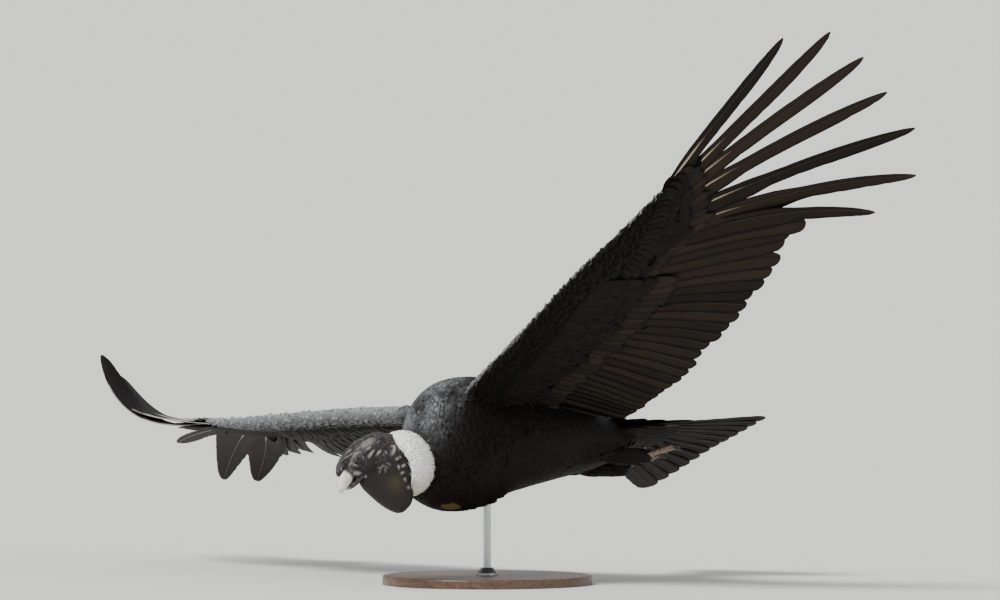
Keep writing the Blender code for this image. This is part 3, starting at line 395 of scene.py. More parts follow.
# Rows of tail coverts: where they root, their length, half the row's spread at the tips, and their number
TAIL_COVERTS = (
    (-0.530, 0.150, 0.135, 15),
    (-0.505, 0.125, 0.100, 13),
    (-0.480, 0.105, 0.078, 12),
    (-0.455, 0.090, 0.062, 11),
)


ACROSS = Vector((1, 0, 0))
UP = Vector((0, 0, 1))


def place(forward, left, up):
    """A point of the bird in Blender's axes."""
    return Vector((left, -forward, up))


def pose():
    turn = Matrix.Rotation(-NOSE_UP, 4, "X") @ Matrix.Rotation(-BANK, 4, "Y")
    over_rod = turn @ place(-STAND_BACK, 0, -0.06)
    return Matrix.Translation((-over_rod.x, -over_rod.y, SHOULDER_HEIGHT)) @ turn


POSE = pose()
UNPOSE = POSE.inverted()


def camera_axes():
    """The ways back to the camera, to its right and up."""
    level = math.cos(CAMERA_ELEVATION)
    east, north = math.sin(CAMERA_AZIMUTH), math.cos(CAMERA_AZIMUTH)
    back = Vector((east * level, -north * level, math.sin(CAMERA_ELEVATION)))
    right = Vector((north, east, 0))
    return back, right, back.cross(right)


CAMERA_BACK, CAMERA_RIGHT, CAMERA_UP = camera_axes()
AIM_FROM_BIRD = CAMERA_RIGHT * BIRD_LEFT_OF_MIDDLE + CAMERA_UP * BIRD_BELOW_MIDDLE
CAMERA_AIM = POSE.translation + AIM_FROM_BIRD / PIXELS_PER_METRE


def seen_on(tree, x, y):
    """The point of a surface in the bird's frame that shows at a pixel of the photograph."""
    across = CAMERA_RIGHT * (x - PHOTO_WIDTH / 2) + CAMERA_UP * (PHOTO_HEIGHT / 2 - y)
    spot = CAMERA_AIM + across / PIXELS_PER_METRE
    way = (spot - CAMERA_AIM - CAMERA_BACK * CAMERA_DISTANCE).normalized()
    return tree.ray_cast(UNPOSE @ (spot - way * 2), UNPOSE.to_3x3() @ way)[0]


HEAD_TURN = Matrix.Translation(place(HEAD_ORIGIN[0], 0, HEAD_ORIGIN[1])) @ Matrix.Rotation(HEAD_PITCH, 4, "X")


def in_head(forward, left, up):
    """A point given in the head's own frame."""
    return HEAD_TURN @ place(forward, left, up)


def blend(low, high, share):
    return low + (high - low) * share


def curve_at(knots, x):
    """The value at x of a smooth curve through (x, value) knots."""
    if x <= knots[0][0]:
        return knots[0][1]
    if x >= knots[-1][0]:
        return knots[-1][1]
    slopes = []
    for i in range(len(knots)):
        before = knots[max(i - 1, 0)]
        after = knots[min(i + 1, len(knots) - 1)]
        slopes.append((after[1] - before[1]) / (after[0] - before[0]))
    for i in range(len(knots) - 1):
        (x0, y0), (x1, y1) = knots[i], knots[i + 1]
        if x0 <= x <= x1:
            span = x1 - x0
            t = (x - x0) / span
            rising = t * t * (3 - 2 * t)
            bend = slopes[i] * (t**3 - 2 * t**2 + t) + slopes[i + 1] * (t**3 - t**2)
            return blend(y0, y1, rising) + span * bend


def finer(rows, steps):
    """Rows of numbers with a smooth curve's points put between them, steps to each span."""
    columns = [[(i, row[c]) for i, row in enumerate(rows)] for c in range(len(rows[0]))]
    count = (len(rows) - 1) * steps + 1
    return [tuple(curve_at(column, i / steps) for column in columns) for i in range(count)]


# Making and finishing pieces


def colour(code):
    """The linear colour of an sRGB hex code."""
    shares = [int(code[i : i + 2], 16) / 255 for i in (1, 3, 5)]
    return (*[s / 12.92 if s <= 0.04045 else ((s + 0.055) / 1.055) ** 2.4 for s in shares], 1.0)


def add_node(tree, kind, inputs=None, **settings):
    """Adds a node: a value in inputs is set on its socket, and another node's socket is linked to it."""
    made = tree.nodes.new(kind)
    for key, value in settings.items():
        setattr(made, key, value)
    for socket, value in (inputs or {}).items():
        if isinstance(value, bpy.types.NodeSocket):
            tree.links.new(value, made.inputs[socket])
        else:
            made.inputs[socket].default_value = value
    return made


def new_finish(name, **constants):
    """A material with its shader's constants set, ready for its pattern."""
    finish = bpy.data.materials.new(name)
    finish.use_nodes = True
    tree = finish.node_tree
    shader = tree.nodes["Principled BSDF"]
    for socket, value in constants.items():
        shader.inputs[socket.replace("_", " ")].default_value = value
    return finish, tree, shader


def ramp(tree, share, stops):
    """A colour ramp over share, through (position, hex colour) stops."""
    made = add_node(tree, "ShaderNodeValToRGB", {"Fac": share})
    marks = made.color_ramp.elements
    while len(marks) < len(stops):
        marks.new(0.5)
    for mark, (position, code) in zip(marks, stops):
        mark.position = position
        mark.color = colour(code)
    return made.outputs["Color"]


def mixed(tree, share, low, high, way="MIX"):
    """A colour between low and high, each a hex code or a socket."""
    made = add_node(tree, "ShaderNodeMix", data_type="RGBA", blend_type=way)
    for socket, value in (("A", low), ("B", high)):
        target = [s for s in made.inputs if s.name == socket and s.type == "RGBA"][0]
        if isinstance(value, str):
            target.default_value = colour(value)
        else:
            tree.links.new(value, target)
    if isinstance(share, bpy.types.NodeSocket):
        tree.links.new(share, made.inputs["Factor"])
    else:
        made.inputs["Factor"].default_value = share
    return [s for s in made.outputs if s.type == "RGBA"][0]


def attribute(tree, name):
    return add_node(tree, "ShaderNodeAttribute", attribute_name=name).outputs["Fac"]


def object_place(tree):
    return add_node(tree, "ShaderNodeTexCoord").outputs["Object"]


def noise_of(tree, spot, scale, detail):
    settings = {"Vector": spot, "Scale": scale, "Detail": detail}
    return add_node(tree, "ShaderNodeTexNoise", settings).outputs["Fac"]


def voronoi_of(tree, spot, scale):
    return add_node(tree, "ShaderNodeTexVoronoi", {"Vector": spot, "Scale": scale}).outputs["Distance"]


def stretched_by(tree, spot, scale):
    return add_node(tree, "ShaderNodeMapping", {"Vector": spot, "Scale": scale}).outputs["Vector"]


def ranged(tree, value, **limits):
    """A value mapped from one range to another; limits are the node's sockets, written From_Min and so on."""
    settings = {"Value": value, **{socket.replace("_", " "): limit for socket, limit in limits.items()}}
    return add_node(tree, "ShaderNodeMapRange", settings).outputs["Result"]


def paint(tree, shader, base):
    tree.links.new(base, shader.inputs["Base Color"])


def sums(tree, kind, first, second=0.5):
    return add_node(tree, "ShaderNodeMath", {0: first, 1: second}, operation=kind).outputs["Value"]


def bumped(tree, shader, height, distance, strength=1.0):
    made = add_node(tree, "ShaderNodeBump", {"Height": height, "Distance": distance, "Strength": strength})
    tree.links.new(made.outputs["Normal"], shader.inputs["Normal"])


def finish_piece(obj, finishes, nodes=(), posed=True):
    """Banks and raises a piece with the bird, gives it its finishes and hides the solids it stands for."""
    if posed:
        obj.data.transform(POSE)
    for finish in finishes:
        obj.data.materials.append(finish)
    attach(obj, "root")
    if nodes:
        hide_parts(*nodes)
    return obj


def object_of(name, mesh):
    obj = bpy.data.objects.new(name, mesh)
    bpy.context.scene.collection.objects.link(obj)
    return obj


def mark(mesh, key, values):
    """Stores a number with each point of a mesh, for its finish."""
    made = mesh.attributes.new(key, "FLOAT", "POINT")
    made.data.foreach_set("value", np.asarray(values, dtype=np.float32))


def welded(bm):
    bmesh.ops.remove_doubles(bm, verts=bm.verts[:], dist=1e-6)


def faced(bm):
    bmesh.ops.recalc_face_normals(bm, faces=bm.faces[:])


def object_from(name, bm, smooth=True):
    mesh = bpy.data.meshes.new(name)
    bm.to_mesh(mesh)
    bm.free()
    if smooth:
        mesh.shade_smooth()
    return object_of(name, mesh)


def apply_modifiers(obj):
    graph = bpy.context.evaluated_depsgraph_get()
    mesh = bpy.data.meshes.new_from_object(obj.evaluated_get(graph))
    obj.modifiers.clear()
    obj.data = mesh


def remesh(obj, voxel):
    """One closed surface round all of an object's overlapping shapes."""
    made = obj.modifiers.new("remesh", "REMESH")
    made.mode = "VOXEL"
    made.voxel_size = voxel
    apply_modifiers(obj)


def smooth(obj, times, factor=0.5):
    bm = bmesh.new()
    bm.from_mesh(obj.data)
    every_way = {"use_axis_x": True, "use_axis_y": True, "use_axis_z": True}
    for _ in range(times):
        bmesh.ops.smooth_vert(bm, verts=bm.verts[:], factor=factor, **every_way)
    bm.to_mesh(obj.data)
    bm.free()


def tube(bm, rings, joined=False):
    """A closed tube bridged through rings of as many points each; joined, its ends meet."""
    loops = []
    for points in rings:
        circle = bmesh.ops.create_circle(bm, segments=len(points), radius=1.0)["verts"]
        for vert, point in zip(circle, points):
            vert.co = point
        loops.append(list(dict.fromkeys(edge for vert in circle for edge in vert.link_edges)))
    for near, far in zip(loops, loops[1:] + loops[:1] if joined else loops[1:]):
        bmesh.ops.bridge_loops(bm, edges=near + far)
    if not joined:
        for end in (loops[0], loops[-1]):
            bmesh.ops.contextual_create(bm, geom=end)


def oval(centre, across, up, sides, width, height):
    """A ring of points round centre."""
    turns = [2 * math.pi * i / sides for i in range(sides)]
    return [centre + across * (width * math.cos(turn)) + up * (height * math.sin(turn)) for turn in turns]


# Feathers


def lens(across, along):
    """A feather's plain form: a thin closed lens over a unit square, as (across, along, height) and faces."""
    bm = bmesh.new()
    bmesh.ops.create_grid(bm, x_segments=across, y_segments=along, size=0.5)
    upper = bm.verts[:]
    made = bmesh.ops.duplicate(bm, geom=bm.verts[:] + bm.edges[:] + bm.faces[:])["geom"]
    lower = [item for item in made if isinstance(item, bmesh.types.BMVert)]
    bmesh.ops.reverse_faces(bm, faces=[item for item in made if isinstance(item, bmesh.types.BMFace)])
    for verts, sign in ((upper, 1), (lower, -1)):
        for vert in verts:
            rim = abs(vert.co.x) > 0.499 or abs(vert.co.y) > 0.499
            vert.co.z = 0 if rim else sign * 0.5 * (1 - (2 * vert.co.x) ** 2)
    bmesh.ops.remove_doubles(bm, verts=bm.verts[:], dist=1e-5)
    bm.verts.index_update()
    points = np.array([vert.co[:] for vert in bm.verts])
    points[:, 1] += 0.5
    faces = np.array([[vert.index for vert in face.verts] for face in bm.faces])
    bm.free()
    return points, faces


def unit(vectors):
    return vectors / np.maximum(np.linalg.norm(vectors, axis=-1, keepdims=True), 1e-12)


def profile(knots, shares):
    return np.array([curve_at(knots, share) for share in shares])


# Widths along a feather, as shares of its full width
CONTOUR = [(0.0, 0.20), (0.30, 0.86), (0.62, 1.0), (0.84, 0.86), (0.95, 0.52), (1.0, 0.10)]
QUILL = [
    (0.0, 0.16), (0.22, 0.92), (0.70, 1.0), (0.90, 0.96),
    (0.955, 0.84), (0.982, 0.62), (0.994, 0.38), (1.0, 0.12),
]
TUFT = [(0.0, 0.45), (0.35, 1.0), (0.70, 0.80), (0.92, 0.40), (1.0, 0.08)]
SHAFT = [(0.0, 1.0), (0.25, 0.85), (0.42, 0.42), (0.9, 0.22), (1.0, 0.10)]


def coordinates(mesh, key="co"):
    values = np.empty(len(mesh.vertices) * 3)
    if key == "normal":
        mesh.vertex_normals.foreach_get("vector", values)
    else:
        mesh.vertices.foreach_get("co", values)
    return values.reshape(-1, 3)


def inside_rim(form):
    """Where a form's pale tone, white and painted sheen alike, lies: it ends short of a dark rim and tip."""
    across, along, _ = form[0].T
    return np.clip((0.48 - np.abs(across)) / 0.05, 0, 1) * np.clip((0.955 - along) / 0.05, 0, 1)


class Coat:
    """Feathers gathered into one piece: all their forms are worked out together."""

    def __init__(self, softness=COAT_SOFTNESS):
        self.softness = softness
        self.points = []
        self.faces = []
        self.maps = {"vane": [], "OFBake": []}
        self.values = {"tint": [], "panel": [], "along": [], "under": []}
        self.finish_of = []
        self.guides = []
        self.count = 0

    def add(self, form, root, tip, reach, normal, lead, trail, knots, depth, patch, **more):
        """Adds as many feathers as there are roots; each number may be one for all or one for each.

        A feather runs from root to tip and would end at reach if it were straight. Lead and trail are its
        widths ahead of and behind its shaft, knots the outline they follow, and patch its place on the OFBake
        map. Guide gives the normals at root and tip that its shading follows, and shown is -1 for one seen
        from below.
        """
        across, along, height = form[0].T
        number = len(root)
        camber = more.get("camber", 0.10)
        power = np.broadcast_to(np.asarray(more.get("power", 2.0), float), (number,))[:, None, None]
        bow = np.broadcast_to(np.asarray(more.get("bow", 0.0), float), (number,))[:, None, None]
        lead = np.broadcast_to(np.asarray(lead, float), (number,))[:, None]
        trail = np.broadcast_to(np.asarray(trail, float), (number,))[:, None]
        levels, level_of = np.unique(np.round(along, 6), return_inverse=True)
        wide = knots if isinstance(knots, np.ndarray) else profile(knots, levels)[None, :]
        root, tip, reach, normal = (np.asarray(a, float)[:, None, :] for a in (root, tip, reach, normal))
        sideways = unit(np.cross(tip - root, normal))
        t = levels[None, :, None]
        middle = root + (reach - root) * t + (tip - reach) * t**power + sideways * bow * (4 * t * (1 - t))
        forward = unit(np.gradient(middle, axis=1))
        side = unit(np.cross(forward, np.broadcast_to(normal, middle.shape)))
        top = np.cross(side, forward)
        width = np.broadcast_to(wide, (number, len(levels)))[:, level_of]
        width = np.where(across[None, :] > 0, lead, trail) * width
        offset = 2 * across[None, :] * width
        rise = camber * width * (0.5 - (2 * across[None, :]) ** 2) + height[None, :] * depth
        fray = more.get("fray", 0.0)
        if fray:
            rim = np.abs(across[None, :]) > 0.499
            random = np.random.default_rng(more.get("seed", 1)).random((number, len(across)))
            offset = offset * (1 - rim * fray * random**3)
        points = middle[:, level_of] + side[:, level_of] * offset[..., None]
        points = points + top[:, level_of] * rise[..., None]
        faces = form[1]
        if more.get("mirror"):
            points = points * np.array([-1, 1, 1])
            faces = faces[:, ::-1]
        length = np.linalg.norm(tip - root, axis=-1)
        self.points.append(points.reshape(-1, 3))
        steps = np.arange(number)[:, None, None] * len(across) + self.count
        self.faces.append((faces[None] + steps).reshape(-1, 4))
        self.count += number * len(across)
        self.maps["vane"].append(np.stack([offset, length * along[None, :]], axis=-1).reshape(-1, 2))
        size = more.get("patch_size", np.array([PATCH, PATCH]))
        spot = np.stack([across, along - 0.5], axis=-1)[None] * size + np.asarray(patch)[:, None, :]
        self.maps["OFBake"].append(spot.reshape(-1, 2))
        tint = np.broadcast_to(np.asarray(more.get("tint", 0.5), float), (number,))[:, None]
        self.values["tint"].append(np.broadcast_to(tint, (number, len(across))).reshape(-1))
        inside = inside_rim(form) if more.get("rimmed", True) else 1.0
        panel = np.asarray(more.get("panel", 0.0), float) * (height > -1e-4) * inside
        self.values["panel"].append(np.broadcast_to(panel, (number, len(across))).reshape(-1))
        self.values["along"].append(np.broadcast_to(along, (number, len(across))).reshape(-1))
        self.values["under"].append(np.broadcast_to(height < -1e-4, (number, len(across))).reshape(-1))
        self.finish_of.append(np.full(number * len(faces), more.get("finish", 0)))
        near, far = more.get("guide", (np.zeros((number, 3)),) * 2)
        shown = more.get("shown", 1)
        side_of = np.where(height * shown < -1e-4, -shown, shown)[None, :, None]
        guide = (near[:, None] * (1 - along[None, :, None]) + far[:, None] * along[None, :, None]) * side_of
        self.guides.append(guide.reshape(-1, 3) * (np.array([-1, 1, 1]) if more.get("mirror") else 1))

    def make(self, name, finishes, nodes=()):
        points = np.concatenate(self.points)
        faces = np.concatenate(self.faces)
        mesh = bpy.data.meshes.new(name)
        mesh.vertices.add(len(points))
        mesh.vertices.foreach_set("co", points.ravel())
        mesh.loops.add(faces.size)
        mesh.loops.foreach_set("vertex_index", faces.ravel().astype(np.int32))
        mesh.polygons.add(len(faces))
        mesh.polygons.foreach_set("loop_start", np.arange(0, faces.size, 4, dtype=np.int32))
        for key, parts in self.maps.items():
            layer = mesh.uv_layers.new(name=key)
            layer.uv.foreach_set("vector", np.concatenate(parts)[faces.ravel()].ravel().astype(np.float32))
        for key, parts in self.values.items():
            mark(mesh, key, np.concatenate(parts))
        mesh.polygons.foreach_set("material_index", np.concatenate(self.finish_of).astype(np.int32))
        mesh.update(calc_edges=True)
        mesh.shade_smooth()
        guides = np.concatenate(self.guides)
        if guides.any():
            # Light falls on the coat as on one soft surface, so no feather shades as a hard scale.
            own = coordinates(mesh, "normal")
            blended = unit(own * (1 - self.softness) + guides * self.softness)
            mesh.normals_split_custom_set_from_vertices(blended.tolist())
        return finish_piece(object_of(name, mesh), finishes, nodes)


class Wing:
    """One wing's curves, worked out as if it were the left one."""

    def __init__(self, side):
        self.side = side
        self.mirror = side == "right"

    def surface(self, out, share, lift=0.0):
        """A point out from the body, share of the chord behind the edge, lifted off the mid surface."""
        front = curve_at(LEADING_FORWARD, out)
        back = curve_at(TRAILING_FORWARD, out)
        up = curve_at(RISE[self.side], out) - curve_at(DROP[self.side], out) * share
        return place(blend(front, back, share), out, up + lift)

    def normal(self, out, share):
        step = 0.02
        outward = self.surface(out + step, share) - self.surface(out - step, share)
        backward = self.surface(out, share + step) - self.surface(out, share - step)
        return outward.cross(backward).normalized()

    def core(self, bm, inset):
        """The flesh of the arm and hand, drawn in by inset all round."""
        rings = []
        steps = 20
        stations = [CORE_INSIDE] + [blend(WING_START, HAND_END, i / steps) for i in range(steps + 1)]
        for out in stations:
            chord = abs(curve_at(LEADING_FORWARD, out) - curve_at(TRAILING_FORWARD, out))
            long = curve_at(CORE_CHORD, out) / chord
            thick = curve_at(THICKNESS, out)
            up = self.normal(out, 0.1)
            ring = [self.surface(out, share * long) + up * (thick * height) for share, height in CORE_PROFILE]
            middle = sum(ring, Vector()) / len(ring)
            ring = [point + (middle - point).normalized() * min(inset, thick * 0.3) for point in ring]
            rings.append(ring)
        middle = sum(rings[-1], Vector()) / len(CORE_PROFILE)
        rings.append([blend(middle, point, 0.3) + place(0, 0.01, 0.003) for point in rings[-1]])
        if self.mirror:
            rings = [[Vector((-p.x, p.y, p.z)) for p in ring] for ring in rings]
        tube(bm, rings)

    def primary(self, i):
        """Root, tip, in-plane reach and normal of primary i, counted from the wrist outwards."""
        share = i / (PRIMARIES - 1)
        out = blend(WRIST + 0.018, HAND_END - 0.006, share)
        root = self.surface(out, blend(ROOT_SHARE, 0.030, share**1.5), STACK_STEP * (PRIMARIES / 2 - i))
        tip = place(*PRIMARY_TIPS[self.side][i])
        flat = self.normal(out, 0.3)
        straight = tip - root
        reach = root + (straight - flat * straight.dot(flat)).normalized() * straight.length
        return root, tip, reach, flat


def copied(bm, node_name):
    """Adds a fixed solid's shape to bm, in the bird's own frame."""
    mesh = frame["nodes"][node_name].data.copy()
    mesh.transform(UNPOSE)
    bm.from_mesh(mesh)
    bpy.data.meshes.remove(mesh)


def build_body():
    """Torso, thighs and the flesh of both wings, drawn in by the depth of the coat."""
    bm = bmesh.new()
    for node_name in ("thigh_left", "thigh_right"):
        copied(bm, node_name)
    welded(bm)
    rings = []
    for forward, back, belly, half in finer(TORSO, 4):
        middle = blend(belly, back, 0.46)
        ring = oval(place(forward, 0, middle), ACROSS, UP, 40, half, back - middle)
        for point in ring:
            if point.z < middle:
                point.z = middle + (point.z - middle) * (middle - belly) / (back - middle)
        rings.append(ring)
    tube(bm, rings)
    rump = []
    for forward, half, deep in RUMP:
        middle = place(forward, 0, TAIL_ROOT[1] - 0.008)
        rump.append(oval(middle, ACROSS, UP, 16, half, deep))
    tube(bm, rump)
    faced(bm)
    body = object_from("body_flesh", bm)
    remesh(body, BODY_VOXEL)
    smooth(body, 2)
    bm = bmesh.new()
    bm.from_mesh(body.data)
    bm.normal_update()
    moved = [(vert, vert.co - vert.normal * BODY_DEPTH) for vert in bm.verts]
    for vert, point in moved:
        vert.co = point
    for side in ("left", "right"):
        Wing(side).core(bm, SKIN_DEPTH * 0.7)
    faced(bm)
    bm.to_mesh(body.data)
    bm.free()
    remesh(body, BODY_VOXEL)
    smooth(body, 3)
    return body


def smooth_neck(bm, rows, sides=28):
    rings = []
    for forward, middle, deep, half in finer(rows, 5):
        rings.append(oval(place(forward, 0, middle), ACROSS, UP, sides, half, deep))
    tube(bm, rings)


def along_head(rows, sides, steps=5):
    """Rings in the head frame that turn with their middle line.

    Rows are forward, up, half depth and half width.
    """
    rows = finer(rows, steps)
    middles = [in_head(row[0], 0, row[1]) for row in rows]
    rings = []
    for i, (_, _, deep, half) in enumerate(rows):
        along = (middles[min(i + 1, len(rows) - 1)] - middles[max(i - 1, 0)]).normalized()
        rings.append(oval(middles[i], ACROSS, along.cross(ACROSS).normalized(), sides, half, deep))
    return rings


def build_head():
    """Bare skin of the head, neck and throat, with its comb; its folds are pressed in afterwards."""
    bm = bmesh.new()
    smooth_neck(bm, NECK)
    smooth_neck(bm, WATTLE, 24)
    # The throat hangs from the neck as one sheet, with no crease between them.
    sheet = [(f, middle + 0.58 * deep, deep * 0.95, half * 1.16) for f, middle, deep, half in WATTLE]
    smooth_neck(bm, sheet, 24)
    skull = [(row[0], blend(row[2], row[1], 0.5), (row[1] - row[2]) / 2, row[3]) for row in SKULL]
    up = (in_head(0, 0, 1) - in_head(0, 0, 0)).normalized()
    tube(bm, [oval(in_head(f, 0, m), ACROSS, up, 28, half, deep) for f, m, deep, half in finer(skull, 5)])
    tube(bm, along_head(COMB, 20))
    faced(bm)
    head = object_from("skin", bm)
    remesh(head, HEAD_VOXEL)
    smooth(head, 6)
    return head


def union(obj, other):
    made = obj.modifiers.new("union", "BOOLEAN")
    made.operation = "UNION"
    made.object = other
    made.solver = "MANIFOLD"
    apply_modifiers(obj)
    bpy.data.objects.remove(other)


def unwrap(obj):
    """An unwrap of the skin's own shape, on which each feather has its patch."""
    bpy.context.view_layer.objects.active = obj
    for other in bpy.context.view_layer.objects:
        other.select_set(other == obj)
    bpy.ops.object.mode_set(mode="EDIT")
    bpy.ops.mesh.select_all(action="SELECT")
    bpy.ops.uv.smart_project(angle_limit=math.radians(66), island_margin=0.002)
    bpy.ops.object.mode_set(mode="OBJECT")


class Ground:
    """A skin that feathers are rooted in: finds its surface, its lie and its places on the unwrap."""

    def __init__(self, obj):
        mesh = obj.data
        mesh.calc_loop_triangles()
        self.points = coordinates(mesh)
        self.corners = np.empty(len(mesh.loop_triangles) * 3, dtype=np.int64)
        mesh.loop_triangles.foreach_get("vertices", self.corners)
        self.corners = self.corners.reshape(-1, 3)
        loops = np.empty(len(mesh.loop_triangles) * 3, dtype=np.int64)
        mesh.loop_triangles.foreach_get("loops", loops)
        spots = np.empty(len(mesh.loops) * 2)
        mesh.uv_layers.active.uv.foreach_get("vector", spots)
        self.spots = spots.reshape(-1, 2)[loops].reshape(-1, 3, 2)
        self.tree = BVHTree.FromPolygons(self.points.tolist(), self.corners.tolist())

    def nearest(self, points):
        """The nearest places on the skin, their normals and their places on the unwrap."""
        places, normals, spots = [], [], []
        for point in points:
            found, normal, index, _ = self.tree.find_nearest(Vector(point))
            places.append(found)
            normals.append(normal)
            spots.append(self.spots[index].mean(axis=0))
        return np.array(places), np.array(normals), np.array(spots)

    def strewn(self, spacing, seed, wanted):
        """Points spread evenly over the skin where wanted(points) allows, spacing(points) apart."""
        random = np.random.default_rng(seed)
        a, b, c = (self.points[self.corners[:, k]] for k in range(3))
        area = np.linalg.norm(np.cross(b - a, c - a), axis=1) / 2
        middles = (a + b + c) / 3
        weight = area * wanted(middles) / spacing(middles) ** 2
        number = int(weight.sum() * TRIES_FOR_EACH)
        picked = random.choice(len(area), number, p=weight / weight.sum())
        u, v = np.sqrt(random.random(number)), random.random(number)
        u, v = u[:, None], v[:, None]
        points = a[picked] * (1 - u) + b[picked] * (u * (1 - v)) + c[picked] * (u * v)
        normals = unit(np.cross(b - a, c - a))[picked]
        spots = self.spots[picked].mean(axis=1)
        apart = spacing(points)
        cell = apart.max()
        grid = {}
        kept = []
        keys = np.floor(points / cell).astype(int)
        near = [(i, j, k) for i in (-1, 0, 1) for j in (-1, 0, 1) for k in (-1, 0, 1)]

        def crowded(index, other):
            gap = points[index] - points[other]
            least = apart[index] * 0.5 + apart[other] * 0.5
            return gap @ gap < least**2 and normals[index] @ normals[other] > 0

        for index in range(number):
            x, y, z = keys[index]
            others = (other for i, j, k in near for other in grid.get((x + i, y + j, z + k), ()))
            if not any(crowded(index, other) for other in others):
                kept.append(index)
                grid.setdefault((x, y, z), []).append(index)
        return points[kept], normals[kept], spots[kept], apart[kept]


# How far outwards feathers lie at distances out along the wing, in degrees
LEAN_OUT = (0.14, 0.34, 0.60, 0.75, 0.92)
LEAN = (2, 8, 16, 38, 62)


def lie_of_coat(points):
    """The way the feathers lie: back along the body, and more and more outwards along the wing."""
    side = np.sign(points[:, 0])
    lean = np.radians(np.interp(np.abs(points[:, 0]), LEAN_OUT, LEAN))
    return np.stack([side * np.sin(lean), np.cos(lean), np.zeros(len(points))], axis=1)


def laid(coat, form, ground, points, normals, spots, flow, length, width, lift, depth, **more):
    """Feathers rooted on a skin that bend with it: lift is how far each tip stands off the skin."""
    flow = unit(flow - normals * np.sum(flow * normals, axis=1, keepdims=True))
    length = np.broadcast_to(length, (len(points),))[:, None]
    lift = np.broadcast_to(lift, (len(points),))[:, None]
    straight = points + flow * length
    tips, tip_normals, _ = ground.nearest(straight)
    tips = tips + tip_normals * lift
    root = points - normals * ROOT_DEPTH
    reach = root + flow * length + normals * (lift * 0.6)
    knots = more.pop("knots", CONTOUR)
    more["guide"] = (normals, tip_normals)
    coat.add(form, root, tips, reach, normals, width / 2, width / 2, knots, depth, spots, **more)


def wing_rows(wing, count, roots, tips, lift, seed):
    """Roots, tips and normals of a row of coverts that fan out as the secondaries do, a little unevenly."""
    random = np.random.default_rng(seed)
    made = []
    for i in range(count):
        share = i / (count - 1)
        out = blend(*COVERT_ROOTS, share)
        fan = blend(*SECONDARY_TIPS, share**FAN_POWER) - blend(*SECONDARY_ROOTS, share)
        reach = tips + random.normal(0, COVERT_UNEVENNESS)
        far = out + fan * (reach - roots) / (1 - ROOT_SHARE) + random.normal(0, 0.003)
        root = wing.surface(out, roots, lift[0])
        tip = wing.surface(far, reach, lift[1])
        across = tip - root
        normal = Matrix.Rotation(-SHINGLE * 0.9, 3, across.normalized()) @ wing.normal(out, 0.4)
        made.append((root[:], tip[:], normal[:]))
    return (np.array(column) for column in zip(*made))


def strip_patch(index, number):
    """A feather's own strip of the map, for the few large vanes."""
    return np.array([(index + 0.5) / number, 0.5])


def plumage_finish(name, dark, brown, panel="#8c919a", flecked=0.35, under=None):
    """Black feather: keratin barbs that lie side by side and give a soft grey sheen."""
    finish, tree, shader = new_finish(name, Roughness=0.60, IOR=1.54, Specular_IOR_Level=0.08)
    vane = add_node(tree, "ShaderNodeUVMap", uv_map="vane").outputs["UV"]
    parts = add_node(tree, "ShaderNodeSeparateXYZ", {"Vector": vane})
    slope = sums(tree, "MULTIPLY", sums(tree, "ABSOLUTE", parts.outputs["X"]), BARB_SLOPE)
    barbs = sums(tree, "ADD", parts.outputs["Y"], slope)
    # Barbs are drawn about ten times as coarse as real ones, so that they show.
    lines = sums(tree, "SINE", sums(tree, "MULTIPLY", barbs, 2 * math.pi / BARB_SPACING))
    wear = object_place(tree)
    patches = sums(tree, "MULTIPLY", noise_of(tree, wear, 14.0, 4.0), 0.4)
    share = sums(tree, "ADD", sums(tree, "MULTIPLY", attribute(tree, "tint"), 0.6), patches)
    base = ramp(tree, share, [(0.20, dark), (0.85, brown)])
    if under:
        below = ramp(tree, share, [(0.05, under[0]), (1.0, under[1])])
        base = mixed(tree, attribute(tree, "under"), base, below)
    streak = sums(tree, "MULTIPLY", sums(tree, "ADD", lines, 1.0), 0.08)
    base = mixed(tree, streak, base, "#2a2520")
    # The pale tone lies on the feathers as fine flecks, 2 to 7 mm wide: white on the white wing feathers, and
    # elsewhere painted sheen.
    shown = ranged(tree, noise_of(tree, wear, 140.0, 4.0), From_Min=0.36, From_Max=0.60, To_Min=flecked)
    pale = sums(tree, "MULTIPLY", attribute(tree, "panel"), shown)
    base = mixed(tree, pale, base, panel)
    paint(tree, shader, base)
    bumped(tree, shader, lines, 0.0004, 0.35)
    return finish


def quill_finish():
    """Feather shaft: horn, pale over the first third of its length where light comes through, and dark
    beyond.
    """
    finish, tree, shader = new_finish("keratin_feather_shaft", Roughness=0.38, IOR=1.54)
    base = ramp(tree, attribute(tree, "along"), [(0.0, "#d2c6b0"), (0.30, "#b3a48d"), (0.40, "#1c1815")])
    paint(tree, shader, base)
    return finish


def down_finish():
    """White down: soft barbules without hooks, that scatter all light."""
    finish, tree, shader = new_finish("white_down", Roughness=0.95, Sheen_Weight=0.4, Sheen_Roughness=0.6)
    tones = [(0.0, "#b9ac88"), (0.45, "#ddd8c8"), (0.75, "#f6f4ee"), (1.0, "#fdfcfa")]
    base = ramp(tree, attribute(tree, "tint"), tones)
    paint(tree, shader, base)
    return finish


def under_plumage_finish():
    """Skin and down under the black feathers, which shows only as depth between them."""
    finish, tree, shader = new_finish("dark_under_down", Roughness=0.95, Specular_IOR_Level=0.06)
    dark = ramp(tree, noise_of(tree, object_place(tree), 90.0, 3.0), [(0.3, "#0d0c0b"), (0.7, "#151311")])
    # Painted sheen on the skin under the feathers, as on the feathers over it.
    base = mixed(tree, attribute(tree, "panel"), dark, "#7c7d7f")
    paint(tree, shader, base)
    return finish


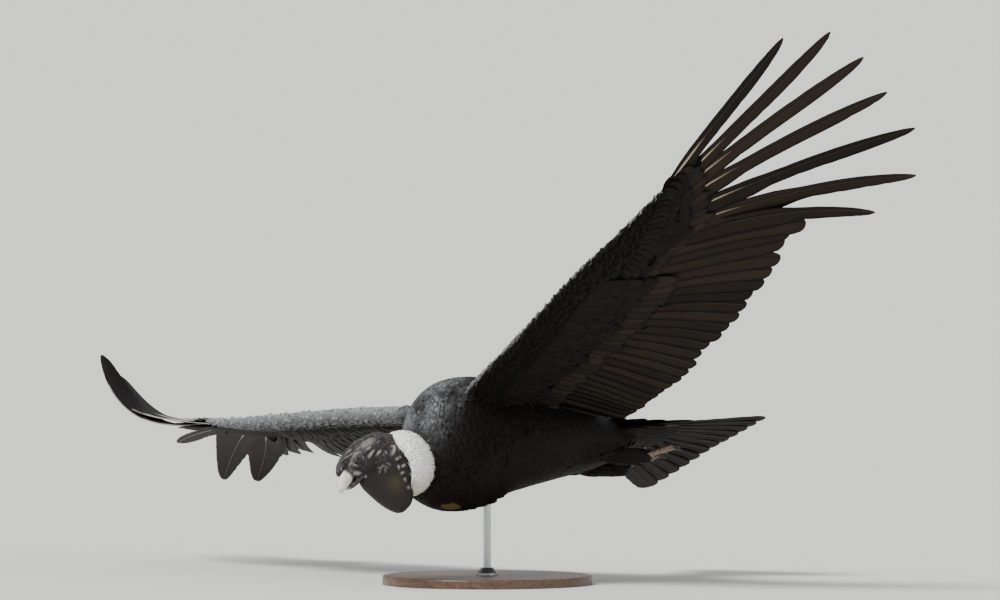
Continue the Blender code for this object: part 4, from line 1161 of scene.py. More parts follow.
def bare_skin_finish():
    """Bare, dry, wrinkled skin: dark grey on the head and brown on the throat.

    Its ridges carry painted highlight and its furrows painted shade; the throat is partly painted shade.
    """
    finish, tree, shader = new_finish("bare_wrinkled_skin", Roughness=0.58, IOR=1.45)
    spot = object_place(tree)
    mottle = noise_of(tree, spot, 120.0, 5.0)
    grey = ramp(tree, mottle, [(0.30, "#121010"), (0.50, "#292523"), (0.75, "#57524e")])
    brown = ramp(tree, mottle, [(0.30, "#0e0a09"), (0.75, "#1e1612")])
    base = mixed(tree, attribute(tree, "throat"), grey, brown)
    # Painted highlight on the folds, and painted shade in the furrows
    base = mixed(tree, attribute(tree, "ridge_highlight"), base, "#aaa19a")
    base = mixed(tree, attribute(tree, "furrow_shade"), base, "#120e0d")
    base = mixed(tree, attribute(tree, "crop"), base, "#4f431f")
    paint(tree, shader, base)
    cells = voronoi_of(tree, spot, 420.0)
    bumped(tree, shader, sums(tree, "ADD", cells, mottle), 0.0008, 0.6)
    return finish


def claw_finish():
    """Black horn: smooth keratin with faint streaks along it, some 2 mm wide."""
    finish, tree, shader = new_finish("black_claw_horn", Roughness=0.3, IOR=1.54)
    streaks = noise_of(tree, object_place(tree), 160.0, 5.0)
    paint(tree, shader, ramp(tree, streaks, [(0.3, "#100e0d"), (0.62, "#2b2623")]))
    bumped(tree, shader, streaks, 0.0004, 0.4)
    return finish


def eye_finish():
    """Glass eye: dark pupil, red-brown iris and a clear wet front."""
    wet = {"Coat_Weight": 0.6, "Coat_Roughness": 0.03}
    finish, tree, shader = new_finish("glass_eye", Roughness=0.06, IOR=1.45, **wet)
    pupil = [(0.0, "#050404"), (0.20, "#050404")]
    iris = [(0.22, "#4a2413"), (0.36, "#7a4424"), (0.41, "#1c120d")]
    paint(tree, shader, ramp(tree, attribute(tree, "gaze"), pupil + iris))
    return finish


def foot_finish():
    """Bare scaly foot skin, pinkish tan with grey between its scutes."""
    finish, tree, shader = new_finish("scaly_foot_skin", Roughness=0.55, IOR=1.45)
    cells = voronoi_of(tree, object_place(tree), 260.0)
    base = ramp(tree, cells, [(0.05, "#a58a78"), (0.45, "#8a6f60"), (0.75, "#55453d")])
    paint(tree, shader, base)
    bumped(tree, shader, cells, -0.0010, 0.7)
    return finish


def wood_finish():
    """Stained and waxed beech: fine grain that runs along the disc."""
    wax = {"Coat_Weight": 0.15, "Coat_Roughness": 0.25}
    finish, tree, shader = new_finish("stained_beech", Roughness=0.42, IOR=1.5, **wax)
    # Grain about 6 mm wide and some twelve times as long
    grain = noise_of(tree, stretched_by(tree, object_place(tree), (1.0, 12.0, 12.0)), 13.0, 6.0)
    paint(tree, shader, ramp(tree, grain, [(0.3, "#3a2a20"), (0.7, "#6b503c")]))
    bumped(tree, shader, grain, 0.0003, 0.3)
    return finish


def steel_finish():
    """Brushed stainless steel: fine turned lines round the rod."""
    finish, tree, shader = new_finish("brushed_stainless_steel", Metallic=1.0)
    # Brushing drawn 1.5 mm apart along the height
    lines = noise_of(tree, stretched_by(tree, object_place(tree), (20.0, 20.0, 650.0)), 1.0, 2.0)
    paint(tree, shader, ramp(tree, lines, [(0.3, "#a9abad"), (0.7, "#c9cacb")]))
    tree.links.new(ranged(tree, lines, To_Min=0.24, To_Max=0.40), shader.inputs["Roughness"])
    return finish


# The contour feathers' pale tone is painted sheen; on the flight feathers it is their white, with painted
# highlight on the outer primaries.
BLACK = plumage_finish("black_contour_feather", "#090808", "#131010", "#9d9ea0", 0.30, ("#0f0c0a", "#1d1713"))
FLIGHT = plumage_finish("black_flight_feather", "#0b0909", "#1a1512", "#bdbbb6", 0.85, ("#18130f", "#342a21"))
QUILLS = quill_finish()
DOWN = down_finish()
UNDER = under_plumage_finish()
BARE = bare_skin_finish()

LARGE = lens(6, 36)
LARGE[0][:, 1] = 1 - (1 - LARGE[0][:, 1]) ** 1.6
RIB = lens(2, 24)
MEDIUM = lens(4, 10)
SMALL = lens(2, 6)
DOWNY = lens(2, 3)

# Skin


def near_line(points, line):
    """How far points are from a line through joined points, and how far along it their nearest places are."""
    lengths = np.linalg.norm(np.diff(line, axis=0), axis=1)
    gone = np.concatenate([[0.0], np.cumsum(lengths)]) / lengths.sum()
    nearest, share = np.full(len(points), np.inf), np.zeros(len(points))
    for a, b, low, high in zip(line, line[1:], gone, gone[1:]):
        step = np.clip((points - a) @ (b - a) / ((b - a) @ (b - a)), 0, 1)
        away = np.linalg.norm(points - a - step[:, None] * (b - a), axis=1)
        closer = away < nearest
        nearest[closer] = away[closer]
        share[closer] = blend(low, high, step[closer])
    return nearest, share


def eye_centre(side):
    return in_head(EYE_CENTRE[0], EYE_CENTRE[1] * side, EYE_CENTRE[2])


def refine_round_eyes(obj):
    """Smaller faces round the eyes, for the lids."""
    bm = bmesh.new()
    bm.from_mesh(obj.data)
    centres = [eye_centre(side) for side in (1, -1)]
    near = [e for e in bm.edges if min((e.verts[0].co - c).length for c in centres) < EYE_RADIUS * 1.5]
    bmesh.ops.subdivide_edges(bm, edges=near, cuts=1, use_grid_fill=True)
    bm.to_mesh(obj.data)
    bm.free()


def lidded(points):
    """Draws the skin over each eyeball as two lids, with the eye's opening left between them."""
    for side in (1, -1):
        centre = np.array(eye_centre(side))
        gaze = unit(np.array([side, EYE_GAZE_FORWARD, 0.0]))
        onward = np.array(in_head(1, 0, 0) - in_head(0, 0, 0))
        onward = unit(onward - gaze * (onward @ gaze))
        above = unit(np.cross(gaze, onward)) * side
        away = points - centre
        far = np.linalg.norm(away, axis=1)
        way = away / far[:, None]
        ahead = way @ gaze
        turned = np.arctan2(way @ onward, ahead) / LID_OPENING[0]
        raised = np.arctan2(way @ above, ahead) / LID_OPENING[1]
        rim = np.sqrt(turned**2 + raised**2)
        lid = EYE_RADIUS + LID_THICKNESS * (1 + 0.5 * np.exp(-(((rim - 1.15) / 0.18) ** 2)))
        wanted = np.where(rim < 1, EYE_RADIUS * 0.62, lid)
        weight = np.clip((EYE_RADIUS * 1.75 - far) / (EYE_RADIUS * 0.55), 0, 1) * (ahead > 0.05)
        weight = weight * weight * (3 - 2 * weight)
        points = points + way * ((wanted - far) * weight)[:, None]
    return points


def sculpt(obj):
    """Presses the folds, furrows and fine wrinkles into the bare skin.

    It marks the throat, the painted highlight on the folds and the painted shade in the furrows.
    """
    mesh = obj.data
    points = coordinates(mesh)
    normals = coordinates(mesh, "normal")
    tree = BVHTree.FromPolygons(points.tolist(), [face.vertices[:] for face in mesh.polygons])
    bare = np.flatnonzero(-points[:, 1] > BARE_FROM - 0.01)
    spots = points[bare]
    height = np.zeros(len(bare))
    marks = {key: np.zeros(len(points)) for key in ("throat", "ridge_highlight", "furrow_shade")}
    ridge_highlight, furrow_shade = np.zeros(len(bare)), np.zeros(len(bare))
    uneven = np.array([1 + 0.30 * noise.noise(Vector(spot) * 170) for spot in spots])
    for width, rise, tone, line in FOLDS:
        line = np.array([seen_on(tree, x, y) for x, y in line])
        for side in (1, -1):
            away, share = near_line(spots, line * np.array([side, 1, 1]))
            ends = 1.0
            if np.linalg.norm(line[-1] - line[0]) > width:
                ends = np.sqrt(np.clip(4 * share * (1 - share) + 0.03, 0, 1))
            shape = np.exp(-((away * uneven / width) ** 2)) * ends
            height += shape * rise
            # A fold gets painted highlight, a furrow painted shade.
            if rise > 0:
                ridge_highlight = np.maximum(ridge_highlight, shape * tone)
            else:
                furrow_shade = np.maximum(furrow_shade, shape * tone)
    for index, spot in enumerate(spots):
        # Wrinkles about 4 mm apart that run up and down, and a finer grain
        long = noise.noise(Vector((spot[0] * 90, spot[1] * 210, spot[2] * 110)))
        fine = noise.noise(Vector(spot) * 420)
        height[index] += WRINKLE_HEIGHT * (0.35 - abs(long) * 1.9) + GRAIN_HEIGHT * fine
    front = np.clip((-spots[:, 1] - BARE_FROM) / 0.012, 0, 1)
    points[bare] += normals[bare] * (height * front)[:, None]
    marks["ridge_highlight"][bare] = ridge_highlight * (1 - furrow_shade * 0.8)
    marks["furrow_shade"][bare] = furrow_shade
    # The grey of the head gives way to the throat's darker brown under a line from the mouth to the nape:
    # partly the skin's own colour, partly painted shade under the head.
    line = np.interp(-spots[:, 1], THROAT_LINE[0], THROAT_LINE[1])
    marks["throat"][bare] = np.clip((line - spots[:, 2]) / THROAT_FADE + 0.5, 0, 1)
    points = lidded(points)
    mesh.vertices.foreach_set("co", points.ravel())
    for key, values in marks.items():
        mark(mesh, key, values)
    mesh.update()


skin = build_head()
refine_round_eyes(skin)
sculpt(skin)
union(skin, build_body())
unwrap(skin)
ground = Ground(skin)
CROP_MIDDLE = seen_on(ground.tree, *CROP_PATCH)


def from_crop(points, shape=CROP_SHAPE, ahead=0.0):
    """How far points are from the bare patch on the crop, measured as its rounded shape stretches."""
    middle = np.array([0.0, CROP_MIDDLE.y - ahead, CROP_MIDDLE.z])
    return np.linalg.norm((points - middle) / shape, axis=1)


def colour_skin():
    """Gives the feathered part of the skin its own finish, and the bare patch on the crop its tone."""
    mesh = skin.data
    mesh.materials.clear()
    points = coordinates(mesh)
    share = np.clip((CROP_SIZE * 1.25 - from_crop(points)) / 0.012, 0, 1)
    near = np.array(seen_on(ground.tree, *THROAT_PATCH))
    mirrored = near * np.array([-1, 1, 1])
    throat = np.minimum(np.linalg.norm(points - near, axis=1), np.linalg.norm(points - mirrored, axis=1))
    # The olive spot on the throat is painted warm reflected light; the crop patch is the skin's own.
    olive = np.maximum(share, THROAT_OLIVE * np.exp(-((throat / THROAT_SPREAD) ** 2)))
    mark(mesh, "crop", olive)
    flesh = ["torso", "neck", "wattle", "head", "comb", "thigh_left", "thigh_right"]
    finish_piece(skin, [BARE, UNDER], flesh)
    for face in mesh.polygons:
        here = list(face.vertices)
        bare = -points[here, 1].mean() > BARE_FROM or share[here].min() > 0
        face.material_index = 0 if bare else 1


colour_skin()


def curve_over(knots, out):
    """A wing curve's value at each of many distances out from the middle."""
    outs = np.linspace(WING_START, HAND_END, 41)
    return np.interp(out, outs, profile(knots, outs))


def behind_edge(points):
    """How far points lie behind the wings' leading edge."""
    return curve_over(LEADING_FORWARD, np.abs(points[:, 0])) + points[:, 1]


def share_on_wing(points):
    return np.clip((np.abs(points[:, 0]) - WING_START) / 0.05, 0, 1)


def over_wing(points):
    """How far points lie over or under the middle of the wing, as a share of half its thickness."""
    out = np.abs(points[:, 0])
    chord = curve_over(LEADING_FORWARD, out) - curve_over(TRAILING_FORWARD, out)
    middle = np.zeros(len(points))
    for side, chosen in (("left", points[:, 0] > 0), ("right", points[:, 0] <= 0)):
        drop = curve_over(DROP[side], out) * np.clip(behind_edge(points) / chord, 0, 1)
        middle[chosen] = (curve_over(RISE[side], out) - drop)[chosen]
    return (points[:, 2] - middle) / (curve_over(THICKNESS, out) / 2)


# The painted highlight along the leading edge, a silvery band of painted sheen: how far back it reaches, and
# how far under the wing, as a share of half its thickness
SHEEN_BAND = 0.050
SHEEN_UNDER = {"left": 0.05, "right": 0.80}
SHEEN_MOST = 0.95


def painted_sheen(points, normals, random):
    """How much painted sheen the feathers carry, a silvery painted highlight.

    It lies over the wings, along their leading edges, and in specks on the shoulders.
    """
    ahead, above = -normals[:, 1], normals[:, 2]
    on_wing = share_on_wing(points)
    over = over_wing(points)
    upper = np.clip(above * 2.2, 0, 1) * np.clip(over * 2, 0, 1) * on_wing
    # The painted highlight along the right wing's edge is the broader band.
    reach = np.where(points[:, 0] > 0, SHEEN_UNDER["left"], SHEEN_UNDER["right"])
    leading = np.clip((SHEEN_BAND - behind_edge(points)) / 0.018, 0, 1) * on_wing
    leading = leading * np.clip((over + reach) / 0.25, 0, 1)
    # Painted highlight in specks on the shoulders, on their side that faces up and forward into the light.
    front = np.clip((0.65 * ahead + 0.75 * above - 0.60) * 3.2, 0, 1) * (1 - on_wing)
    front = front * np.clip((0.05 - points[:, 1]) / 0.04, 0, 1)
    speckle = 0.32 + 0.35 * random + np.array([noise.noise(Vector(point) * 22) * 0.6 for point in points])
    sheen_share = upper * (0.25 + 0.35 * speckle) + leading * (0.62 + 0.15 * speckle) + front * 0.60 * speckle
    return np.clip(sheen_share, 0, SHEEN_MOST)


# Where the coat starts and ends along the body, and how far apart its feathers root: at distances behind the
# leading edge, forward along the body, and next to the bare patch
COAT_FRONT = 0.118
COAT_BACK = -0.60
WING_SPACING = ((0.0, 0.03, 0.10), (0.0072, 0.0105, 0.0145))
BODY_SPACING = ((-0.55, -0.30, -0.05, 0.02, 0.10), (0.0120, 0.0150, 0.0115, 0.0085, 0.0070))
PATCH_SPACING = (0.0050, 0.0120)
# Lengths of small feathers, as multiples of their spacing: on the body, and at distances behind the leading
# edge
BODY_LENGTH = 3.6
WING_LENGTH = ((0.0, 0.03, 0.09), (2.3, 2.5, 3.6))
LOOSE_LIFT = 0.016
LOOSE_SPREAD = 0.055


def build_contour_feathers():
    """Small feathers over the body, thighs and the flesh of the wings."""

    def spacing(points):
        out = np.abs(points[:, 0])
        wing = np.interp(behind_edge(points), *WING_SPACING)
        body = np.interp(-points[:, 1], *BODY_SPACING)
        round_patch = np.interp(from_crop(points), [CROP_SIZE, CROP_SIZE * 2], PATCH_SPACING)
        body = np.minimum(body, round_patch)
        share = np.clip((out - 0.11) / 0.05, 0, 1)
        return blend(body, wing, share) * np.interp(out, [0.60, 0.90], [1.0, 0.85])

    def wanted(points):
        forward = -points[:, 1]
        # Feathers from in front would lie back over the patch, so it is clear further forward.
        crop = from_crop(points, (1.0, 1.5, 1.6), 0.016)
        return (forward < COAT_FRONT) * (forward > COAT_BACK) * (crop > CROP_SIZE)

    points, normals, spots, apart = ground.strewn(spacing, 11, wanted)
    random = np.random.default_rng(12)
    flow = lie_of_coat(points) + random.normal(0, 0.06, (len(points), 3))
    # Along the very edge of the wing they lie outwards, and so cover it.
    facing = np.clip((-normals[:, 1] - 0.45) * 2.2, 0, 1)
    facing = facing * np.clip((np.abs(points[:, 0]) - 0.05) / 0.07, 0, 1)
    outwards = np.stack([np.sign(points[:, 0]), np.zeros(len(points)), np.full(len(points), 0.2)], axis=1)
    flow = flow + (facing * 1.6)[:, None] * outwards
    sheen_share = painted_sheen(points, normals, random.random(len(points)))
    # The skin below carries the same painted sheen, so that none of it shows dark between the feathers.
    turn = np.array(UNPOSE.to_3x3()).T
    under = coordinates(skin.data) @ turn + np.array(UNPOSE.translation)
    mark(skin.data, "panel", painted_sheen(under, coordinates(skin.data, "normal") @ turn, 0.5))
    breast = np.array(seen_on(ground.tree, *LOOSE_BREAST))
    regions = {
        "body_feathers": np.abs(points[:, 0]) <= BODY_HALF,
        "wing_left_small_coverts": points[:, 0] > BODY_HALF,
        "wing_right_small_coverts": points[:, 0] < -BODY_HALF,
    }
    for name, region in regions.items():
        coat = Coat()
        size = apart[region] * random.uniform(0.92, 1.10, region.sum())
        # Feathers over the thin leading edge are short, so that they lie round it. Those behind the breast
        # stand off.
        on_wing = share_on_wing(points[region])
        long = blend(BODY_LENGTH, np.interp(behind_edge(points[region]), *WING_LENGTH), on_wing)
        loose = np.exp(-((np.linalg.norm(points[region] - breast, axis=1) / LOOSE_SPREAD) ** 2))
        lift = size * blend(0.12, 0.06, on_wing) + loose * LOOSE_LIFT
        laid(
            coat, SMALL, ground, points[region], normals[region], spots[region], flow[region],
            size * (long + loose), size * 2.2, lift, SMALL_THICKNESS,
            tint=random.random(region.sum()), camber=0.02, panel=sheen_share[region][:, None], rimmed=False,
        )
        coat.make(name, [BLACK])


build_contour_feathers()


# Rows of scapulars: how far out the first and last root, their lengths, and their number
SCAPULARS = (
    ((0.060, 0.105), (0.12, 0.17), 16),
    ((0.075, 0.125), (0.09, 0.13), 15),
    ((0.090, 0.135), (0.06, 0.09), 14),
)
SCAPULAR_STRETCH = (-0.22, -0.02)
SCAPULAR_WIDTH = 0.040
SCAPULAR_LIFT = 0.006


def build_scapulars():
    """Long feathers from each shoulder that lie back over the root of the wing."""
    random = np.random.default_rng(14)
    coat = Coat()
    for outs, lengths, number in SCAPULARS:
        for side in (1, -1):
            share = np.linspace(0, 1, number) + random.normal(0, 0.02, number)
            forward = blend(*SCAPULAR_STRETCH, share)
            out = blend(*outs, share) + random.normal(0, 0.003, number)
            above = np.stack([side * out, -forward, np.full(number, 0.16)], axis=1)
            hits = [ground.tree.ray_cast(Vector(point), -UP)[0] for point in above]
            points, normals, spots = ground.nearest([hit for hit in hits if hit])
            flow = np.array([side * 0.22, 1.0, 0.0]) + random.normal(0, 0.04, (len(points), 3))
            length = blend(*lengths, random.random(len(points)))
            laid(
                coat, MEDIUM, ground, points, normals, spots, flow, length,
                SCAPULAR_WIDTH, SCAPULAR_LIFT, LONG_THICKNESS,
                tint=random.random(len(points)), camber=0.04, fray=0.10,
            )
    coat.make("scapular_feathers", [BLACK])


build_scapulars()


def finger_knots(side, finger):
    """Widths along a finger, counted from the innermost."""
    if finger < BROAD_FINGERS[side]:
        return BROAD_FINGER
    notch = NOTCHES[finger]
    base = blend(1.0, OUTERMOST_BASE, finger / (len(NOTCHES) - 1))
    return [
        (0.0, 0.25), (0.10, base * 0.8), (notch, base), (notch + 0.11, 0.64),
        (0.76, 0.63), (0.91, 0.46), (0.975, 0.27), (1.0, 0.08),
    ]


def flight_feathers(wing):
    """Secondaries, primaries and their coverts for one wing."""
    side = wing.side
    random = np.random.default_rng(21 if side == "left" else 22)
    coat = Coat()
    number = SECONDARIES + PRIMARIES + len(TERTIALS)
    keys = ("root", "tip", "reach", "normal", "lead", "trail", "wide", "bow", "power", "panel", "patch")
    rows = {key: [] for key in keys}

    def put(index, root, tip, reach, normal, *rest):
        values = (root[:], tip[:], reach[:], normal[:], *rest, strip_patch(index, number))
        for key, value in zip(keys, values):
            rows[key].append(value)

    levels = np.unique(np.round(LARGE[0][:, 1], 6))
    for i in range(SECONDARIES):
        share = i / (SECONDARIES - 1)
        out = blend(*SECONDARY_ROOTS, share)
        out_tip = blend(*SECONDARY_TIPS, share**FAN_POWER)
        root = wing.surface(out, ROOT_SHARE)
        tip = wing.surface(out_tip, 1.0 + random.normal(0, 0.008))
        reach = tip + wing.normal(out, 0.3) * 0.012
        middle = blend(out, out_tip, 0.5)
        normal = Matrix.Rotation(-SHINGLE, 3, (tip - root).normalized()) @ wing.normal(middle, 0.5)
        wide = blend(*SECONDARY_WIDTHS, share)
        lead, trail = wide * LEAD_SHARE, wide * (1 - LEAD_SHARE)
        put(i, root, tip, reach, normal, lead, trail, profile(QUILL, levels), 0.008, 2.0, SECONDARY_PANEL)
    for i in range(PRIMARIES):
        root, tip, reach, flat = wing.primary(i)
        tilt = math.radians(PRIMARY_TWIST[side][i]) - SHINGLE
        normal = Matrix.Rotation(tilt, 3, (tip - root).normalized()) @ flat
        if i < FIRST_FINGER:
            knots, lead, trail = QUILL, 0.024, 0.036
        else:
            finger = i - FIRST_FINGER
            knots = finger_knots(side, finger)
            lead = FINGER_LEAD[side][finger]
            trail = FINGER_TRAIL[side][finger]
        bow, bend = PRIMARY_BOW[side][i], PRIMARY_BEND[side][i]
        put(SECONDARIES + i, root, tip, reach, normal, lead, trail, profile(knots, levels), bow, bend, 0.0)
    for i, (out, out_tip, back) in enumerate(TERTIALS):
        root = wing.surface(out, ROOT_SHARE, 0.004)
        tip = wing.surface(out_tip, back, 0.004)
        normal = Matrix.Rotation(-SHINGLE, 3, (tip - root).normalized()) @ wing.normal(BODY_HALF, 0.5)
        index = SECONDARIES + PRIMARIES + i
        put(index, root, tip, tip, normal, 0.024, 0.026, profile(QUILL, levels), 0.006, 2.0, 0.0)
    arrays = {key: np.array(value) for key, value in rows.items()}
    places = [arrays[key] for key in ("root", "tip", "reach", "normal")]
    # The right wing's feathers are kept darker, as painted shade over that whole wing.
    tint = random.random(number) * (1.0 if side == "left" else 0.1)
    common = {"power": arrays["power"], "bow": arrays["bow"], "mirror": wing.mirror, "tint": tint}
    strip = np.array([0.8 / number, 0.94])
    across, along, _ = LARGE[0].T
    # The outer primaries of the right wing carry a painted highlight along their leading edge, broad at the
    # root.
    narrow = np.interp(along, [0.0, 0.25, 0.50, 0.80, 0.90], [0.0, 0.10, 0.36, 0.44, 0.60])
    edge = np.clip((across - narrow) / 0.05, 0, 1)
    outermost = np.isin(np.arange(number), SECONDARIES + np.arange(5, PRIMARIES))
    outer = outermost * (0.75 if side == "right" else 0.0)
    panels_and_sheen = arrays["panel"][:, None] * inside_rim(LARGE) + outer[:, None] * edge
    coat.add(
        LARGE, *places, arrays["lead"], arrays["trail"], arrays["wide"], VANE_THICKNESS, arrays["patch"],
        camber=0.07, fray=0.07, seed=31, patch_size=strip, panel=panels_and_sheen, rimmed=False, **common,
    )
    coat.add(
        RIB, *places, 0.0032, 0.0032, SHAFT, SHAFT_THICKNESS, arrays["patch"],
        camber=0.0, finish=1, patch_size=np.array([0.1 / number, 0.94]), **common,
    )
    nodes = [f"wing_{side}_arm", f"wing_{side}_hand"]
    coat.make(f"wing_{side}_flight_feathers", [FLIGHT, QUILLS], nodes)


# Rows of coverts of the secondaries: their number, the shares of the chord where they root and end, lift at
# root and tip, width, pale tone (white on the greater coverts, painted sheen on the rows in front of them)
# and finish
COVERT_ROWS = (
    # Above
    (26, 0.26, 0.62, (0.003, 0.0075), 0.042, 0.85, 1),
    (29, 0.20, 0.48, (0.006, 0.0125), 0.036, 0.30, 0),
    (32, 0.16, 0.385, (0.010, 0.0165), 0.031, 0.24, 0),
    (35, 0.12, 0.30, (0.014, 0.0200), 0.027, 0.24, 0),
    # Below
    (26, 0.25, 0.55, (-0.003, -0.0075), 0.042, 0.0, 1),
    (29, 0.20, 0.43, (-0.006, -0.0125), 0.036, 0.0, 0),
    (32, 0.16, 0.35, (-0.010, -0.0165), 0.031, 0.0, 0),
    (35, 0.12, 0.275, (-0.014, -0.0195), 0.027, 0.0, 0),
)
# Rows of coverts of the primaries: lift, share of the primary's length, and finish
HAND_COVERT_ROWS = (
    (0.0065, 0.33, 0),
    (0.0105, 0.25, 0),
    (0.0140, 0.18, 0),
    (0.0165, 0.12, 0),
    (-0.0065, 0.27, 1),
    (-0.0105, 0.20, 0),
    (-0.0140, 0.14, 0),
    (-0.0165, 0.09, 0),
)


def covert_rows(wing):
    """Greater and median coverts above and below the secondaries, and the coverts of the primaries."""
    side = wing.side
    coat = Coat()
    mirror = wing.mirror

    def spots_of(points):
        flipped = points * np.array([-1 if mirror else 1, 1, 1])
        return ground.nearest(flipped)[2]

    for index, (count, roots, tips, lift, wide, panel, finish) in enumerate(COVERT_ROWS):
        root, tip, normal = wing_rows(wing, count, roots, tips, lift, 40 + index)
        random = np.random.default_rng(50 + index)
        width = wide * random.uniform(0.88, 1.12, count)
        panels_and_sheen = (panel * random.uniform(0.6, 1.1, count))[:, None]
        coat.add(
            MEDIUM, root, tip, tip, normal, width * 0.46, width * 0.54, CONTOUR, COVERT_THICKNESS,
            spots_of(root), camber=0.04, fray=0.12, mirror=mirror, tint=random.random(count), panel=panels_and_sheen,
            finish=finish, guide=(normal, normal), shown=1 if lift[0] > 0 else -1,
        )
    random = np.random.default_rng(60)
    last = PRIMARIES - 1
    for lift, length, finish in HAND_COVERT_ROWS:
        made = []
        for k in range(2 * last + 1):
            i = k / 2
            low = min(int(i), last - 1)
            pair = [wing.primary(low), wing.primary(low + 1)]
            root, tip, reach, flat = (blend(a, b, i - low) for a, b in zip(*pair))
            start = root + flat * (lift * 0.3)
            share = length * blend(1.15, 0.85, i / last) * random.uniform(0.93, 1.07)
            bent = (tip - reach) * share ** PRIMARY_BEND[side][low]
            end = root + (reach - root) * share + bent + flat * (lift * blend(1.2, 0.85, i / last))
            tilt = math.radians(PRIMARY_TWIST[side][low] * 0.5) - SHINGLE * 0.6
            normal = Matrix.Rotation(tilt, 3, (end - start).normalized()) @ flat
            made.append((start[:], end[:], normal[:]))
        root, end, normal = (np.array(column) for column in zip(*made))
        # The upper coverts of the primaries carry painted sheen.
        coat.add(
            MEDIUM, root, end, end, normal, 0.013, 0.019, CONTOUR, LONG_THICKNESS, spots_of(root),
            camber=0.03, fray=0.12, mirror=mirror, tint=random.random(len(root)), finish=finish,
            panel=0.25 if lift > 0 else 0.0, guide=(normal, normal), shown=1 if lift > 0 else -1,
        )
    coat.make(f"wing_{side}_coverts", [BLACK, FLIGHT])


def build_tail():
    coat = Coat()
    count = TAIL_FEATHERS
    middle = (count - 1) / 2
    share = (np.arange(count) - middle) / middle
    layer = -0.0019 * np.abs(np.arange(count) - middle)
    root_up = TAIL_ROOT[1] + 0.006 + layer
    root = np.stack([TAIL_ROOT_HALF * share, np.full(count, -TAIL_ROOT[0]), root_up], axis=1)
    tip_up = TAIL_TIP[1] + layer + TAIL_ROLL * share
    tip = np.stack([TAIL_TIP_HALF * share, -(TAIL_TIP[0] + 0.016 * share**2), tip_up], axis=1)
    up = np.tile([0.0, 0.0, 1.0], (count, 1))
    patch = np.array([strip_patch(i, count) for i in range(count)])
    random = np.random.default_rng(62)
    coat.add(
        LARGE, root, tip, tip, up, TAIL_FEATHER_HALF, TAIL_FEATHER_HALF, QUILL, TAIL_THICKNESS, patch,
        camber=0.05, fray=0.07, seed=61, patch_size=np.array([0.8 / count, 0.94]),
        tint=random.uniform(0.1, 0.4, count),
    )
    coat.add(
        RIB, root, tip, tip, up, 0.0020, 0.0020, SHAFT, TAIL_SHAFT_THICKNESS, patch,
        camber=0.0, finish=1, patch_size=np.array([0.1 / count, 0.94]),
    )
    coat.make("tail_feathers", [FLIGHT, QUILLS], ["tail"])
    coverts = Coat()
    slope = (TAIL_TIP[1] - TAIL_ROOT[1]) / (TAIL_TIP[0] - TAIL_ROOT[0])
    for over in (1, -1):
        for row, (start, reach, half, number) in enumerate(TAIL_COVERTS):
            share = np.linspace(-1, 1, number)
            back = start - reach + 0.014 * share**2 + random.normal(0, 0.004, number)
            root = np.stack([0.055 * share, np.full(number, -start), np.full(number, TAIL_ROOT[1])], axis=1)
            root[:, 2] += over * (0.006 + 0.005 * row) * (1 - 0.4 * share**2)
            tip_up = TAIL_ROOT[1] + slope * (back - TAIL_ROOT[0]) + over * (0.0045 + 0.0045 * row)
            tip = np.stack([half * share, -back, tip_up], axis=1)
            normal = np.tile([0.0, 0.0, 1.0], (number, 1))
            coverts.add(
                MEDIUM, root, tip, tip, normal, TAIL_COVERT_HALF, TAIL_COVERT_HALF, CONTOUR, COVERT_THICKNESS,
                ground.nearest(root)[2], camber=0.05 * over, fray=0.12, tint=random.random(number),
            )
    coverts.make("tail_coverts", [BLACK])


# Rows of feathers round each shank: how far back they root, their length, and their number
SHANK_ROWS = ((0.430, 0.095, 12), (0.455, 0.105, 12), (0.478, 0.105, 11))


def build_trousers():
    """Long feathers from the end of each thigh, laid back round the shank."""
    random = np.random.default_rng(64)
    coat = Coat()
    for side in (1, -1):
        for back, reach, number in SHANK_ROWS:
            turn = 2 * math.pi * (np.arange(number) + random.uniform(-0.2, 0.2, number)) / number
            out = np.stack([np.cos(turn), np.zeros(number), np.sin(turn)], axis=1)
            near = np.array([side * 0.050, back, -0.108])
            far = np.array([side * 0.040, back + reach, -0.112])
            root = near + out * 0.010
            tip = far + out * random.uniform(0.014, 0.018, (number, 1))
            tip[:, 1] += random.normal(0, 0.006, number)
            bulge = blend(root, tip, 0.5) + out * 0.008
            coat.add(
                MEDIUM, root, tip, bulge + (bulge - root), out, 0.011, 0.011, CONTOUR, LONG_THICKNESS,
                ground.nearest(root)[2], camber=0.10, fray=0.15, tint=random.random(number), guide=(out, out),
            )
    coat.make("thigh_feathers", [BLACK])


for side in ("left", "right"):
    wing = Wing(side)
    flight_feathers(wing)
    covert_rows(wing)
build_tail()
build_trousers()


